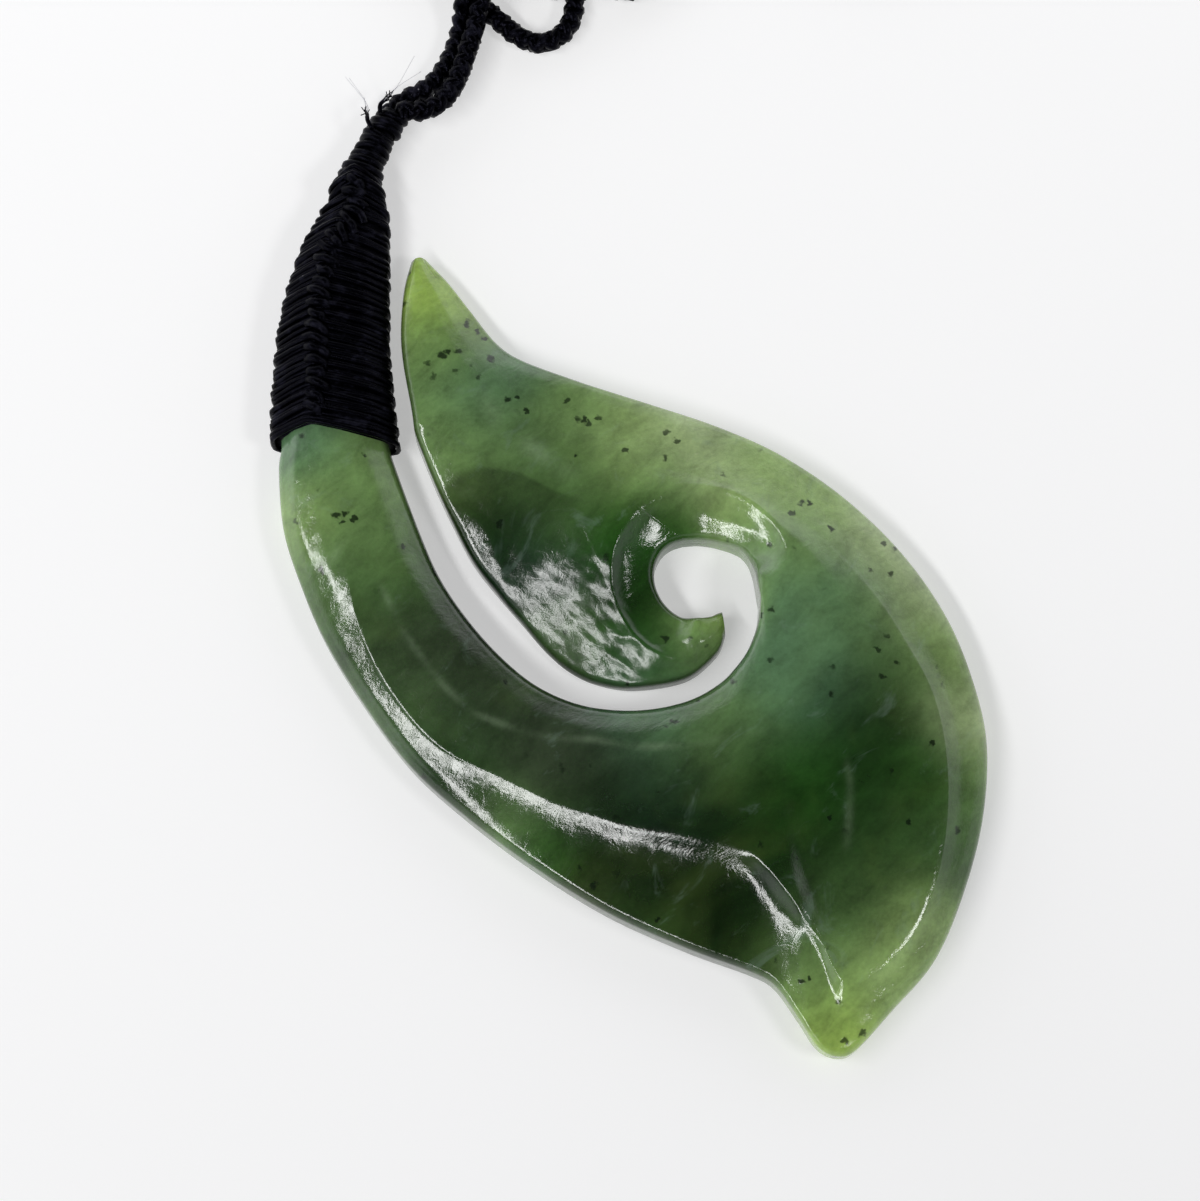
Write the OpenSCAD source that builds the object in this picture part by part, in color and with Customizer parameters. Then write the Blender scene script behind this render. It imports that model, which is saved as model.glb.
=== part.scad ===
// Hei matau, a fish hook carved from one piece of green nephrite. The top of the shank is
// bound in fine black thread, and a plaited neck cord leaves the binding as a closed loop.
// The pendant lies on its flat back. +X is the side of the shoulder, +Y the bound end and
// +Z the carved face. Sizes are in millimetres.

/* [Stone] */
// Width of the hook, from the back of the shank to the shoulder
stone_w = 64; // [54:1:74]
// Length of the hook, from the foot to the bound end of the shank
stone_l = 80; // [72:1:90]
// Width of the bare shank under the binding
shank_w = 11.4; // [10:0.1:12]
// Thickness of the body at its crest
body_t = 7; // [6:0.1:8.5]
// Height of the outer edge
edge_t = 2.2; // [1.6:0.1:2.8]
// Height of the rim along the slot and round the hole
rim_t = 4.4; // [3.6:0.1:5.2]
// Round of the polished edges
edge_round = 0.8; // [0.4:0.1:1.2]

/* [Slot and hole] */
// Width of the slot between the shank and the blade
slot_w = 2.8; // [2.2:0.1:3.2]
// Diameter of the hole that the point curls round
hole_d = 8; // [7:0.1:8.6]

/* [Binding] */
// Thickness of the wound thread
wrap_t = 0.9; // [0.6:0.05:1.1]
// Clearance between the stone and the binding
wrap_gap = 0.05; // [0.02:0.01:0.1]
// Height of the line of knots above the thread beside it
knot_h = 0.7; // [0.4:0.1:1]
// Width of the bound neck above the stone, which draws in to the end of the lashing
neck_w = 4.4; // [4:0.1:5]
// Height of the bound neck
neck_t = 3.6; // [3.2:0.1:4.2]
// Length of the neck and the lashing above the end of the stone
neck_l = 8.6; // [8:0.1:10]

/* [Neck cord] */
// Diameter of the plaited cord
cord_d = 1.8; // [1.4:0.1:1.8]

/* [Hidden] */

// Left edge and foot of the stone. They centre the stone and its binding on the origin, with
// the stone a little to the right because the binding reaches further left.
binding_out = 0.2;
stone_x = -stone_w / 2 + binding_out;
stone_y = -(stone_l + neck_l) / 2;
// Middle of the hole, as shares of stone_w and stone_l
hole_at = [0.602, 0.537];
hole_c = [stone_x + hole_at[0] * stone_w, stone_y + hole_at[1] * stone_l];
// Clearance between pieces that meet face to face
seam = 0.05;

// Columns that every table of sections ends with: where the crest crosses the section, as
// a share from the outer side to the inner, and three heights as shares. The outer height
// is a share of edge_t, the crest's of body_t and the inner height of rim_t.

// Shank, from its bound end down. Its back is cut away under the binding, by the last
// column's share of the binding's thickness, so that the binding lies flush with the back.
// middle x, y, width as a share of shank_w, crest at, outer height, crest, inner height,
// back cut away
shank_rows = [
    [0.111, 1.000, 0.15, 0.48, 0.95, 0.40, 0.48, 1],
    [0.105, 0.984, 0.36, 0.46, 1.05, 0.50, 0.53, 1],
    [0.091, 0.930, 0.56, 0.40, 1.15, 0.57, 0.58, 1],
    [0.080, 0.865, 0.69, 0.36, 1.20, 0.61, 0.60, 1],
    [0.076, 0.795, 0.77, 0.35, 1.20, 0.63, 0.60, 1],
    [0.080, 0.725, 0.85, 0.38, 1.15, 0.64, 0.60, 1],
    [0.083, 0.695, 0.87, 0.41, 1.12, 0.65, 0.60, 1],
    [0.0875, 0.665, 0.95, 0.46, 1.10, 0.66, 0.60, 0],
];

// Bowl, from the shank to the foot. Places are shares of stone_w and stone_l.
// outer x, y, inner x, y, crest at, outer height, crest, inner height
bowl_rows = [
    [0.012, 0.597, 0.206, 0.592, 0.45, 1.05, 0.70, 0.66],
    [0.036, 0.537, 0.236, 0.537, 0.38, 1.00, 0.75, 0.74],
    [0.074, 0.467, 0.276, 0.488, 0.30, 0.95, 0.80, 0.82],
    [0.130, 0.394, 0.322, 0.445, 0.27, 0.90, 0.84, 0.90],
    [0.197, 0.322, 0.372, 0.411, 0.29, 0.90, 0.88, 0.96],
    [0.273, 0.266, 0.428, 0.390, 0.34, 0.95, 0.91, 1.00],
    [0.365, 0.210, 0.485, 0.382, 0.41, 1.00, 0.94, 1.03],
    [0.470, 0.157, 0.540, 0.3835, 0.44, 1.00, 0.97, 1.05],
    [0.580, 0.117, 0.590, 0.394, 0.44, 1.00, 1.00, 1.08],
    [0.665, 0.092, 0.628, 0.412, 0.42, 1.00, 0.99, 1.10],
    [0.700, 0.076, 0.650, 0.430, 0.41, 1.00, 0.98, 1.12],
    [0.732, 0.040, 0.665, 0.447, 0.43, 1.00, 0.97, 1.14],
    [0.757, 0.010, 0.675, 0.465, 0.45, 1.00, 0.96, 1.15],
    [0.785, 0.000, 0.681, 0.482, 0.46, 1.00, 0.96, 1.16],
];

// Shoulder, from the foot round to the root of the blade, with its inner side on the hole.
// outer x, y, angle on the hole, its radius as a share of hole_d / 2, crest at,
// outer height, crest, inner height
shoulder_rows = [
    [0.811, 0.009, -24, 1.44, 0.46, 1.00, 0.96, 1.16],
    [0.860, 0.051, -13, 1.31, 0.46, 0.95, 0.96, 1.16],
    [0.920, 0.106, -4, 1.25, 0.46, 0.90, 0.96, 1.14],
    [0.962, 0.180, 4, 1.22, 0.48, 0.85, 0.96, 1.12],
    [0.991, 0.262, 12, 1.20, 0.52, 0.80, 0.96, 1.08],
    [1.000, 0.345, 20, 1.19, 0.58, 0.80, 0.94, 1.04],
    [0.985, 0.415, 28, 1.17, 0.62, 0.80, 0.90, 1.00],
    [0.950, 0.492, 37, 1.13, 0.66, 0.80, 0.86, 0.96],
    [0.890, 0.567, 47, 1.05, 0.68, 0.80, 0.84, 0.94],
    [0.810, 0.633, 57, 0.98, 0.66, 0.80, 0.84, 0.94],
    [0.720, 0.685, 68, 0.94, 0.62, 0.80, 0.84, 0.95],
    [0.630, 0.719, 80, 0.92, 0.57, 0.80, 0.83, 0.96],
    [0.530, 0.747, 94, 0.93, 0.55, 0.80, 0.82, 0.97],
    [0.440, 0.771, 112, 0.98, 0.58, 0.80, 0.80, 0.98],
];

// Blade, from its root to its tip. Its left edge lies across the slot from the shank.
// upper edge x, y, row of the slot wall that its left edge faces, gap as a share of slot_w,
// crest at, upper height, crest, left height
blade_rows = [
    [0.352, 0.799, 4.85, 0.86, 0.45, 0.80, 0.72, 0.50],
    [0.312, 0.822, 4.15, 0.78, 0.45, 0.80, 0.66, 0.50],
    [0.274, 0.862, 3.60, 0.73, 0.45, 0.80, 0.60, 0.46],
    [0.243, 0.896, 3.05, 0.76, 0.47, 0.80, 0.53, 0.44],
    [0.219, 0.918, 2.55, 0.85, 0.50, 0.80, 0.45, 0.42],
    [0.209, 0.927, 2.10, 1.03, 0.50, 0.80, 0.38, 0.40],
];

// Lobe, from the root of the blade to the point of the hook.
// row of the slot wall that it faces, gap as a share of slot_w, angle on the hole, its
// radius as a share of hole_d / 2, crest at, height at the slot, crest, height at the hole
lobe_rows = [
    [6.05, 0.92, 127, 1.03, 0.60, 0.60, 0.78, 0.98],
    [7.40, 1.00, 141, 1.06, 0.62, 0.66, 0.76, 0.97],
    [8.15, 1.12, 155, 1.06, 0.66, 0.72, 0.75, 0.96],
    [9.00, 1.22, 169, 1.05, 0.68, 0.76, 0.75, 0.96],
    [9.85, 1.33, 184, 1.03, 0.68, 0.78, 0.74, 0.96],
    [10.70, 1.36, 199, 1.01, 0.66, 0.78, 0.73, 0.96],
    [11.60, 1.25, 214, 0.99, 0.62, 0.78, 0.71, 0.96],
    [12.50, 1.11, 231, 0.97, 0.58, 0.78, 0.69, 0.95],
    [13.40, 1.00, 249, 0.95, 0.54, 0.76, 0.66, 0.92],
    [14.50, 0.92, 267, 0.93, 0.52, 0.74, 0.60, 0.86],
    [16.20, 0.86, 284, 0.90, 0.50, 0.70, 0.54, 0.76],
    [18.20, 0.84, 297, 0.86, 0.50, 0.66, 0.48, 0.68],
    [19.90, 0.90, 305, 0.86, 0.50, 0.62, 0.44, 0.62],
];

// Where the blade and the lobe part: the crest they share and the edge between them.
root_crest = [0.335, 0.700, 0.78];
root_edge = [5.35, 0.88, 0.55];

// Rows of the shank between which the binding lies, before it draws in to the neck
wrap_rows = [6, 0.7];
// Bound neck and lashing: middle x and y as shares of stone_w and neck_l, measured from
// the end of the stone, with width and height as shares of neck_w and neck_t
neck_rows = [
    [-0.0045, -0.02, 1.24, 1.24],
    [-0.003, 0.10, 1.08, 1.14],
    [-0.002, 0.20, 1.00, 1.04],
];
lash_rows = [
    [0.009, 0.44, 0.82, 0.96],
    [0.025, 0.72, 0.76, 0.94],
    [0.048, 1.00, 0.70, 0.92],
];

// Neck cord, from the end of the lashing out and back to it: x and y in millimetres from
// the middle of the lashing's end, and height above the table
cord_route = [
    [0.2, 1.2, 0.9], [1.5, 2.1, 0.9], [3.2, 3.1, 0.9], [4.5, 4.7, 0.9],
    [5.5, 6.8, 0.9], [6.1, 8.9, 1.1], [6.4, 10.8, 2.1], [6.5, 12.6, 2.75],
    [6.5, 15.2, 2.85], [6.8, 18.3, 1.9], [7.4, 21.9, 0.9], [6.2, 64, 0.9],
    [4.2, 70, 0.9], [0.2, 72.5, 0.9], [-3.8, 69.5, 0.9], [-5.3, 63, 0.9],
    [-5.3, 26, 0.9], [-3.5, 19.5, 0.9], [-0.5, 17.5, 0.9], [3.2, 16.2, 0.9],
    [5.8, 14.3, 0.9], [7.2, 12.6, 0.9], [8.5, 11.1, 0.9], [10, 9.7, 0.9],
    [11.6, 8.3, 0.9], [13.6, 7.6, 0.9], [15.3, 8.2, 0.9], [16.4, 9.5, 0.9],
    [16.9, 11.4, 0.9], [17, 14.5, 0.9], [16.6, 24, 0.9], [17.6, 63, 0.9],
    [19.4, 69, 0.9], [23.2, 71.5, 0.9], [26.8, 69, 0.9], [28.6, 63, 0.9],
    [28.6, 22.5, 0.9], [27.2, 16.9, 0.9], [24.3, 13.7, 0.9], [21.3, 13, 1.1],
    [18.7, 13.4, 2.6], [16.1, 12.3, 2.8], [13.7, 13.3, 1.5], [12.4, 15.7, 0.9],
    [12.2, 20, 0.9], [12.3, 66, 0.9], [13.4, 76, 0.9], [18.2, 82.5, 0.9],
    [25.6, 84, 0.9], [33.6, 82, 0.9], [38.4, 74, 0.9], [39.4, 63.5, 0.9],
    [39.2, 26, 0.9], [41.2, 19.5, 0.9], [45.2, 17, 0.9], [49.2, 19.5, 0.9],
    [50.8, 26, 0.9], [50.6, 68.5, 0.9], [48.2, 82, 0.9], [40.2, 90.5, 0.9],
    [27.6, 94, 0.9], [16.2, 91.5, 0.9], [10.7, 83.5, 0.9], [9.5, 70.5, 0.9],
    [9.5, 25, 0.9], [9.4, 20, 1.3], [9.1, 17.3, 2.4], [8.7, 15, 2.8],
    [8.4, 12.8, 2.85], [8, 10.9, 2.8], [7.5, 8.6, 2.3], [6.9, 6.6, 2.15],
    [6.3, 4.6, 2.15], [5.6, 2.8, 2.15], [4.6, 1.3, 2.15], [3.3, 0.4, 2.15],
    [2.1, 0.1, 2.2], [1.1, 0.1, 2.3],
];

// Steps from one row of a table to the next
trunk_steps = 2;
branch_steps = 3;

// Places on a smooth curve through the rows of a table, at any row between the first and last
function pick(rows, i) = rows[max(0, min(len(rows) - 1, i))];
function curve(rows, at) =
    let (
        i = min(floor(at), len(rows) - 2),
        f = at - i,
        a = pick(rows, i - 1),
        b = pick(rows, i),
        c = pick(rows, i + 1),
        d = pick(rows, i + 2)
    )
    0.5 * (2 * b + (c - a) * f + (2 * a - 5 * b + 4 * c - d) * f * f
        + (3 * b - a - 3 * c + d) * f * f * f);
function share_at(x, y) = [stone_x + x * stone_w, stone_y + y * stone_l];
function on_hole(angle, radius) =
    hole_c + hole_d / 2 * radius * [cos(angle), sin(angle)];

// Each section in millimetres: outer x and y, inner x and y, crest x and y, three heights,
// and how far the back is cut away
function section(a, b, at, heights, cut = 0) =
    let (crest = a + (b - a) * at)
    [a[0], a[1], b[0], b[1], crest[0], crest[1],
        heights[0] * edge_t, heights[1] * body_t, heights[2] * rim_t,
        cut * (wrap_t + wrap_gap)];

function shank_section(r) =
    let (mid = share_at(r[0], r[1]), half = [shank_w * r[2] / 2, 0])
    section(mid - half, mid + half, r[3], [r[4], r[5], r[6]], r[7]);
function bowl_section(r) =
    section(share_at(r[0], r[1]), share_at(r[2], r[3]), r[4], [r[5], r[6], r[7]]);
function shoulder_section(r) =
    section(share_at(r[0], r[1]), on_hole(r[2], r[3]), r[4], [r[5], r[6], r[7]]);

slot_sections = concat(
    [for (r = shank_rows) shank_section(r)],
    [for (r = bowl_rows) bowl_section(r)]
);

// The wall across the slot: a place on the inner side of the shank and bowl, moved across
function across_slot(row, gap) =
    let (
        here = curve(slot_sections, row),
        ahead = curve(slot_sections, row + 0.1),
        run = [ahead[2] - here[2], ahead[3] - here[3]]
    )
    [here[2], here[3]] + slot_w * gap * [-run[1], run[0]] / norm(run);

function blade_section(r) =
    section(share_at(r[0], r[1]), across_slot(r[2], r[3]), r[4], [r[5], r[6], r[7]]);
function lobe_section(r) =
    let (
        slot_side = across_slot(r[0], r[1]),
        hole_side = on_hole(r[2], r[3]),
        s = section(slot_side, hole_side, r[4], [r[5], r[6], r[7]])
    )
    [s[0], s[1], s[2], s[3], s[4], s[5], r[5] * rim_t, s[7], s[8], 0];

trunk_sections = concat(slot_sections, [for (r = shoulder_rows) shoulder_section(r)]);

// The root, where trunk, blade and lobe share one crest and three edges
trunk_end = trunk_sections[len(trunk_sections) - 1];
root_mid = share_at(root_crest[0], root_crest[1]);
root_side = across_slot(root_edge[0], root_edge[1]);
root_top = root_crest[2] * body_t;
trunk_root = [trunk_end[0], trunk_end[1], trunk_end[2], trunk_end[3],
    root_mid[0], root_mid[1], trunk_end[6], root_top, trunk_end[8], 0];
blade_root = [trunk_end[0], trunk_end[1], root_side[0], root_side[1],
    root_mid[0], root_mid[1], trunk_end[6], root_top, root_edge[2] * rim_t, 0];
lobe_root = [root_side[0], root_side[1], trunk_end[2], trunk_end[3],
    root_mid[0], root_mid[1], root_edge[2] * rim_t, root_top, trunk_end[8], 0];

trunk_keys = [for (i = [0:len(trunk_sections) - 1])
    i == len(trunk_sections) - 1 ? trunk_root : trunk_sections[i]];
blade_keys = concat([blade_root], [for (r = blade_rows) blade_section(r)]);
lobe_keys = concat([lobe_root], [for (r = lobe_rows) lobe_section(r)]);

function refine(rows, steps) =
    [for (i = [0:(len(rows) - 1) * steps]) curve(rows, i / steps)];
// At each of the three ends the crest stops short of the end's own edge
function set_back(s, next) =
    let (mid = ([s[4], s[5]] + [next[4], next[5]]) / 2)
    [s[0], s[1], s[2], s[3], mid[0], mid[1], s[6], s[7], s[8], s[9]];
trunk_even = refine(trunk_keys, trunk_steps);
blade_even = refine(blade_keys, branch_steps);
lobe_even = refine(lobe_keys, branch_steps);
trunk = [for (i = [0:len(trunk_even) - 1])
    i == 0 ? set_back(trunk_even[0], trunk_even[1]) : trunk_even[i]];
function with_back_end(rows) = [for (i = [0:len(rows) - 1])
    i == len(rows) - 1 ? set_back(rows[i], rows[i - 1]) : rows[i]];
blade = with_back_end(blade_even);
lobe = with_back_end(lobe_even);

// The edge is rounded below and above. Each rounding takes at most a share of the wall's
// height and of the way to the crest, and has one middle point, a share in from its corner.
low_share = 0.42;
high_share = 0.38;
reach_share = 0.40;
corner_share = 0.30;
// The slope from the edge up to the crest: shares of the way in and of the rise
slope = [[0.30, 0.46], [0.62, 0.82]];

// Half a section, from its middle on the back, round the edge, to its crest. grow moves the
// whole half outward, for the binding round it.
function half_chain(edge, crest, edge_h, crest_h, back, grow) =
    let (
        base = max(0, back - grow),
        reach = norm(crest - edge),
        into = (crest - edge) / reach,
        rim = edge - into * grow,
        top = edge_h + grow,
        peak = crest_h + grow,
        low_r = min(edge_round, (top - base) * low_share, reach * reach_share),
        high_r = min(edge_round, (top - base) * high_share, reach * reach_share),
        wide = reach + grow
    )
    [
        [crest[0], crest[1], base],
        concat(rim + into * low_r, base),
        concat(rim + into * low_r * corner_share, base + low_r * corner_share),
        concat(rim, base + low_r),
        concat(rim, top - high_r),
        concat(rim + into * high_r * corner_share, top - high_r * corner_share),
        concat(rim + into * high_r, top),
        for (p = slope)
            concat(rim + into * (high_r + (wide - high_r) * p[0]), top + (peak - top) * p[1]),
        [crest[0], crest[1], peak],
    ];
function outer_half(s, grow = 0) =
    half_chain([s[0], s[1]], [s[4], s[5]], s[6], s[7], s[9], grow);
function inner_half(s, grow = 0) =
    half_chain([s[2], s[3]], [s[4], s[5]], s[8], s[7], s[9], grow);

// One row of halves runs once round the whole outline: down the trunk's outer side, out
// along the blade and back, along the lobe to the point, and home along the hole and slot.
// Halves that face each other share a crest, so each half also carries its crest's number.
trunk_n = len(trunk);
blade_n = len(blade);
lobe_n = len(lobe);
halves = concat(
    [for (i = [0:trunk_n - 1]) [i, outer_half(trunk[i])]],
    [for (i = [1:blade_n - 1]) [trunk_n + i, outer_half(blade[i])]],
    [for (i = [blade_n - 1:-1:1]) [trunk_n + i, inner_half(blade[i])]],
    [for (i = [0:lobe_n - 1])
        [i == 0 ? trunk_n - 1 : trunk_n + blade_n + i, outer_half(lobe[i])]],
    [for (i = [lobe_n - 1:-1:1]) [trunk_n + blade_n + i, inner_half(lobe[i])]],
    [for (i = [trunk_n - 1:-1:0]) [i, inner_half(trunk[i])]]
);

chain_n = len(halves[0][1]);
wall_n = chain_n - 2;
crest_n = trunk_n + blade_n + lobe_n;
// Points between the two ends of every half, then the crests, then the middles of the back
hook_points = concat(
    [for (h = halves) for (k = [1:wall_n]) h[1][k]],
    [for (part = [trunk, blade, lobe]) for (s = part) [s[4], s[5], s[7]]],
    [for (part = [trunk, blade, lobe]) for (s = part) [s[4], s[5], max(0, s[9])]]
);
function hook_index(h, k) =
    let (place = h % len(halves))
    k == 0 ? len(halves) * wall_n + crest_n + halves[place][0]
    : k == chain_n - 1 ? len(halves) * wall_n + halves[place][0]
    : place * wall_n + k - 1;
function corners(a, b, c, d) =
    a == d ? [[a, b, c]] : b == c ? [[a, b, d]] : [[a, b, c], [a, c, d]];
hook_faces = [for (h = [0:len(halves) - 1]) for (k = [0:chain_n - 2])
    each corners(
        hook_index(h, k), hook_index(h, k + 1),
        hook_index(h + 1, k + 1), hook_index(h + 1, k)
    )];

module stone_hook() {
    color([0.24, 0.38, 0.20])
        polyhedron(points = hook_points, faces = hook_faces, convexity = 8);
}

// Rings round the shank, with the line of knots raised along the crest
function wrap_ring(row, grow, raise) =
    let (
        s = curve(slot_sections, row),
        outer = outer_half(s, grow),
        inner = inner_half(s, grow),
        last = chain_n - 1,
        crest = outer[last] + [0, 0, raise]
    )
    concat(
        [for (k = [0:last - 1]) outer[k]],
        [crest],
        [for (k = [last - 1:-1:1]) inner[k]]
    );
// A flat-backed oval ring of the same number of points
function oval_ring(mid, run, w, h, count) =
    [for (i = [0:count - 1])
        let (
            a = -90 - 360 * i / count,
            side = w / 2 * cos(a),
            up = h / 2 * (1 + sin(a))
        )
        [mid[0] - run[1] * side, mid[1] + run[0] * side, up]];
// Walls between rings that follow each other, and one flat end
function ring_walls(rings, count) =
    [for (r = [0:rings - 2]) for (i = [0:count - 1])
        let (j = (i + 1) % count)
        each [
            [r * count + i, (r + 1) * count + i, (r + 1) * count + j],
            [r * count + i, (r + 1) * count + j, r * count + j]
        ]];
function ring_cap(first, count, turned) =
    [for (i = [1:count - 2])
        turned ? [first, first + i, first + i + 1] : [first, first + i + 1, first + i]];

wrap_steps = 12;
ring_n = 2 * chain_n - 2;
function wrap_place(i, last_row) = wrap_rows[0] + (last_row - wrap_rows[0]) * i / wrap_steps;
function neck_at(r) = share_at(shank_rows[0][0] + r[0], 1) + [0, r[1] * neck_l];
neck_mids = [for (r = neck_rows) neck_at(r)];
neck_last = len(neck_rows) - 1;
neck_run = let (d = neck_mids[neck_last] - neck_mids[neck_last - 1]) d / norm(d);
wrap_outer = concat(
    [for (i = [0:wrap_steps]) wrap_ring(wrap_place(i, wrap_rows[1]), wrap_gap + wrap_t, knot_h)],
    [for (r = neck_rows) oval_ring(neck_at(r), -neck_run, neck_w * r[2], neck_t * r[3], ring_n)]
);
wrap_inner = [for (i = [wrap_steps:-1:0])
    let (end_gap = [0, i == wrap_steps ? wrap_gap : 0, 0])
    [for (p = wrap_ring(wrap_place(i, 0), wrap_gap, 0)) p + end_gap]];

module shank_binding() {
    outer_n = len(wrap_outer);
    inner_n = len(wrap_inner);
    inner_first = outer_n * ring_n;
    points = concat([for (r = wrap_outer) each r], [for (r = wrap_inner) each r]);
    hem = [for (i = [0:ring_n - 1])
        let (j = (i + 1) % ring_n, a = inner_first + (inner_n - 1) * ring_n)
        each [[a + i, i, j], [a + i, j, a + j]]];
    bore_walls = [for (f = ring_walls(inner_n, ring_n)) [for (i = f) inner_first + i]];
    color([0.05, 0.05, 0.06])
        polyhedron(
            points = points,
            faces = concat(
                ring_walls(outer_n, ring_n),
                ring_cap((outer_n - 1) * ring_n, ring_n, false),
                bore_walls,
                ring_cap(inner_first, ring_n, true),
                hem
            ),
            convexity = 6
        );
}

module neck_lashing() {
    count = 12;
    top = neck_rows[neck_last];
    foot = neck_mids[neck_last] + neck_run * seam;
    mids = concat([foot], [for (r = lash_rows) neck_at(r)]);
    last = len(mids) - 1;
    rings = [for (i = [0:last])
        let (
            run = i == 0 ? neck_run : mids[i == last ? last : i + 1] - mids[i - 1],
            r = i == 0 ? top : lash_rows[i - 1]
        )
        oval_ring(mids[i], -run / norm(run), neck_w * r[2], neck_t * r[3], count)];
    color([0.05, 0.05, 0.06])
        polyhedron(
            points = [for (r = rings) each r],
            faces = concat(
                ring_walls(last + 1, count),
                ring_cap(last * count, count, false),
                ring_cap(0, count, true)
            ),
            convexity = 4
        );
}

// Both legs of the cord start on the end of the lashing, the second up and to the right of
// the first. Heights in the route are for a cord of route_d.
leg_lean = 46;
route_d = 1.8;
lash_last = len(lash_rows) - 1;
lash_end = neck_at(lash_rows[lash_last]);
lash_run = let (d = lash_end - neck_at(lash_rows[lash_last - 1])) d / norm(d);
leg_side = cos(leg_lean) * [-lash_run[1], lash_run[0]];
leg_apart = (cord_d / 2 + seam) * concat(leg_side, -sin(leg_lean));
leg_mid = concat(lash_end, neck_t * lash_rows[lash_last][3] / 2);
cord_stops = concat(
    [leg_mid + leg_apart],
    [for (p = cord_route) [lash_end[0] + p[0], lash_end[1] + p[1], p[2] * cord_d / route_d]],
    [leg_mid - leg_apart]
);

// A tube of eight sides along the stops, each ring square to the route there
module neck_cord() {
    count = 8;
    last = len(cord_stops) - 1;
    rings = [for (i = [0:last])
        let (
            run = i == 0 ? concat(lash_run, 0)
                : i == last ? concat(-lash_run, 0)
                : cord_stops[i + 1] - cord_stops[i - 1],
            along = run / norm(run),
            level = cross([0, 0, 1], along),
            side = level / norm(level),
            up = cross(along, side)
        )
        [for (k = [0:count - 1])
            cord_stops[i] + cord_d / 2 * (
                side * cos(360 * (k + 0.5) / count) + up * sin(360 * (k + 0.5) / count)
            )]];
    color([0.05, 0.05, 0.06])
        polyhedron(
            points = [for (r = rings) each r],
            faces = concat(
                ring_walls(last + 1, count),
                ring_cap(last * count, count, false),
                ring_cap(0, count, true)
            ),
            convexity = 10
        );
}

stone_hook();
shank_binding();
neck_lashing();
neck_cord();
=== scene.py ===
"""A carved green stone fish hook on a plaited black cord, laid on a pale table.

Lengths in the tables are millimetres or shares of the stone's size; everything built is in metres.
"""

import logging
import math
from dataclasses import astuple, dataclass, field, replace
from enum import Enum, IntEnum
from typing import Any, Iterable, Sequence, TypeVar

import bpy
import numpy as np
from bpy.types import Material, Object
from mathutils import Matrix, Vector

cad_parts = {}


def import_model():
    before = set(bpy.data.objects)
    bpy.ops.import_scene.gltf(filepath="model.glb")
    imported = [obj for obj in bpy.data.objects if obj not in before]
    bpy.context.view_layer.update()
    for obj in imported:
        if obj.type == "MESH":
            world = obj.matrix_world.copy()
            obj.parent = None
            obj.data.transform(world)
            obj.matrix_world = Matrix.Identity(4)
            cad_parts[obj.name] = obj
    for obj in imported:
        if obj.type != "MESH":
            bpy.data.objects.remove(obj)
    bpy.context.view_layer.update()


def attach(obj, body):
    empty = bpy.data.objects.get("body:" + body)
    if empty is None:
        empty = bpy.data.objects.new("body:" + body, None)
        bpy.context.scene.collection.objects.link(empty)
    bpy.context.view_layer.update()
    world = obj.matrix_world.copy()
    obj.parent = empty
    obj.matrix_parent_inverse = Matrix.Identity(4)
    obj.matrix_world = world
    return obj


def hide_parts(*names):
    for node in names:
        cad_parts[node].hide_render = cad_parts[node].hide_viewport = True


LOG = logging.getLogger("pendant")
MM = 0.001
BODY = "root"
Record = TypeVar("Record")
Array = np.ndarray
Pair = tuple[float, float]
Triple = tuple[float, float, float]

STONE_W = 64.0
STONE_L = 80.0
STONE_X = -31.8
STONE_Y = -44.3
SHANK_W = 11.4
SLOT_W = 2.8
HOLE_R = 4.0
HOLE_AT = (0.602, 0.537)
CORD_R = 0.9
TABLE_GAP = 0.01


class Node(Enum):
    """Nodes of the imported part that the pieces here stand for."""

    STONE = "stone_hook"
    BINDING = "shank_binding"
    LASHING = "neck_lashing"
    CORD = "neck_cord"


class Green(Enum):
    """The stone's greens, from its darkest cloud to its pale tips, whose brightness is partly
    painted glow of light through the thin stone.
    """

    INK = "071404"
    DEEP = "162c10"
    BOTTLE = "2c4823"
    SLATE = "303b2a"
    OLIVE = "344420"
    FOREST = "204c14"
    SPRUCE = "1a3222"
    MOSS = "435f34"
    FERN = "5b7847"
    SAGE = "55795a"
    LEAF = "6f8e54"
    PALE = "8aa564"
    MILK = "a3b585"
    TIP = "96b356"


class Slot(Enum):
    """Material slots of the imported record."""

    STONE = "green_nephrite"
    THREAD = "waxed_thread"
    CORD = "plaited_cord"


def linear(hex_colour: str) -> tuple[float, float, float, float]:
    """Turns a screen colour into the linear colour that shaders take.

    Args:
        hex_colour: Six hexadecimal digits, red first.

    Returns:
        Red, green, blue and an alpha of 1.
    """
    parts = [int(hex_colour[i : i + 2], 16) / 255 for i in (0, 2, 4)]
    low = 0.04045
    done = [p / 12.92 if p <= low else ((p + 0.055) / 1.055) ** 2.4 for p in parts]
    return (done[0], done[1], done[2], 1.0)


def records(kind: type[Record], *rows: tuple[Any, ...]) -> tuple[Record, ...]:
    """Makes one record from each row of its values."""
    return tuple(kind(*row) for row in rows)


# Shader building


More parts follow.
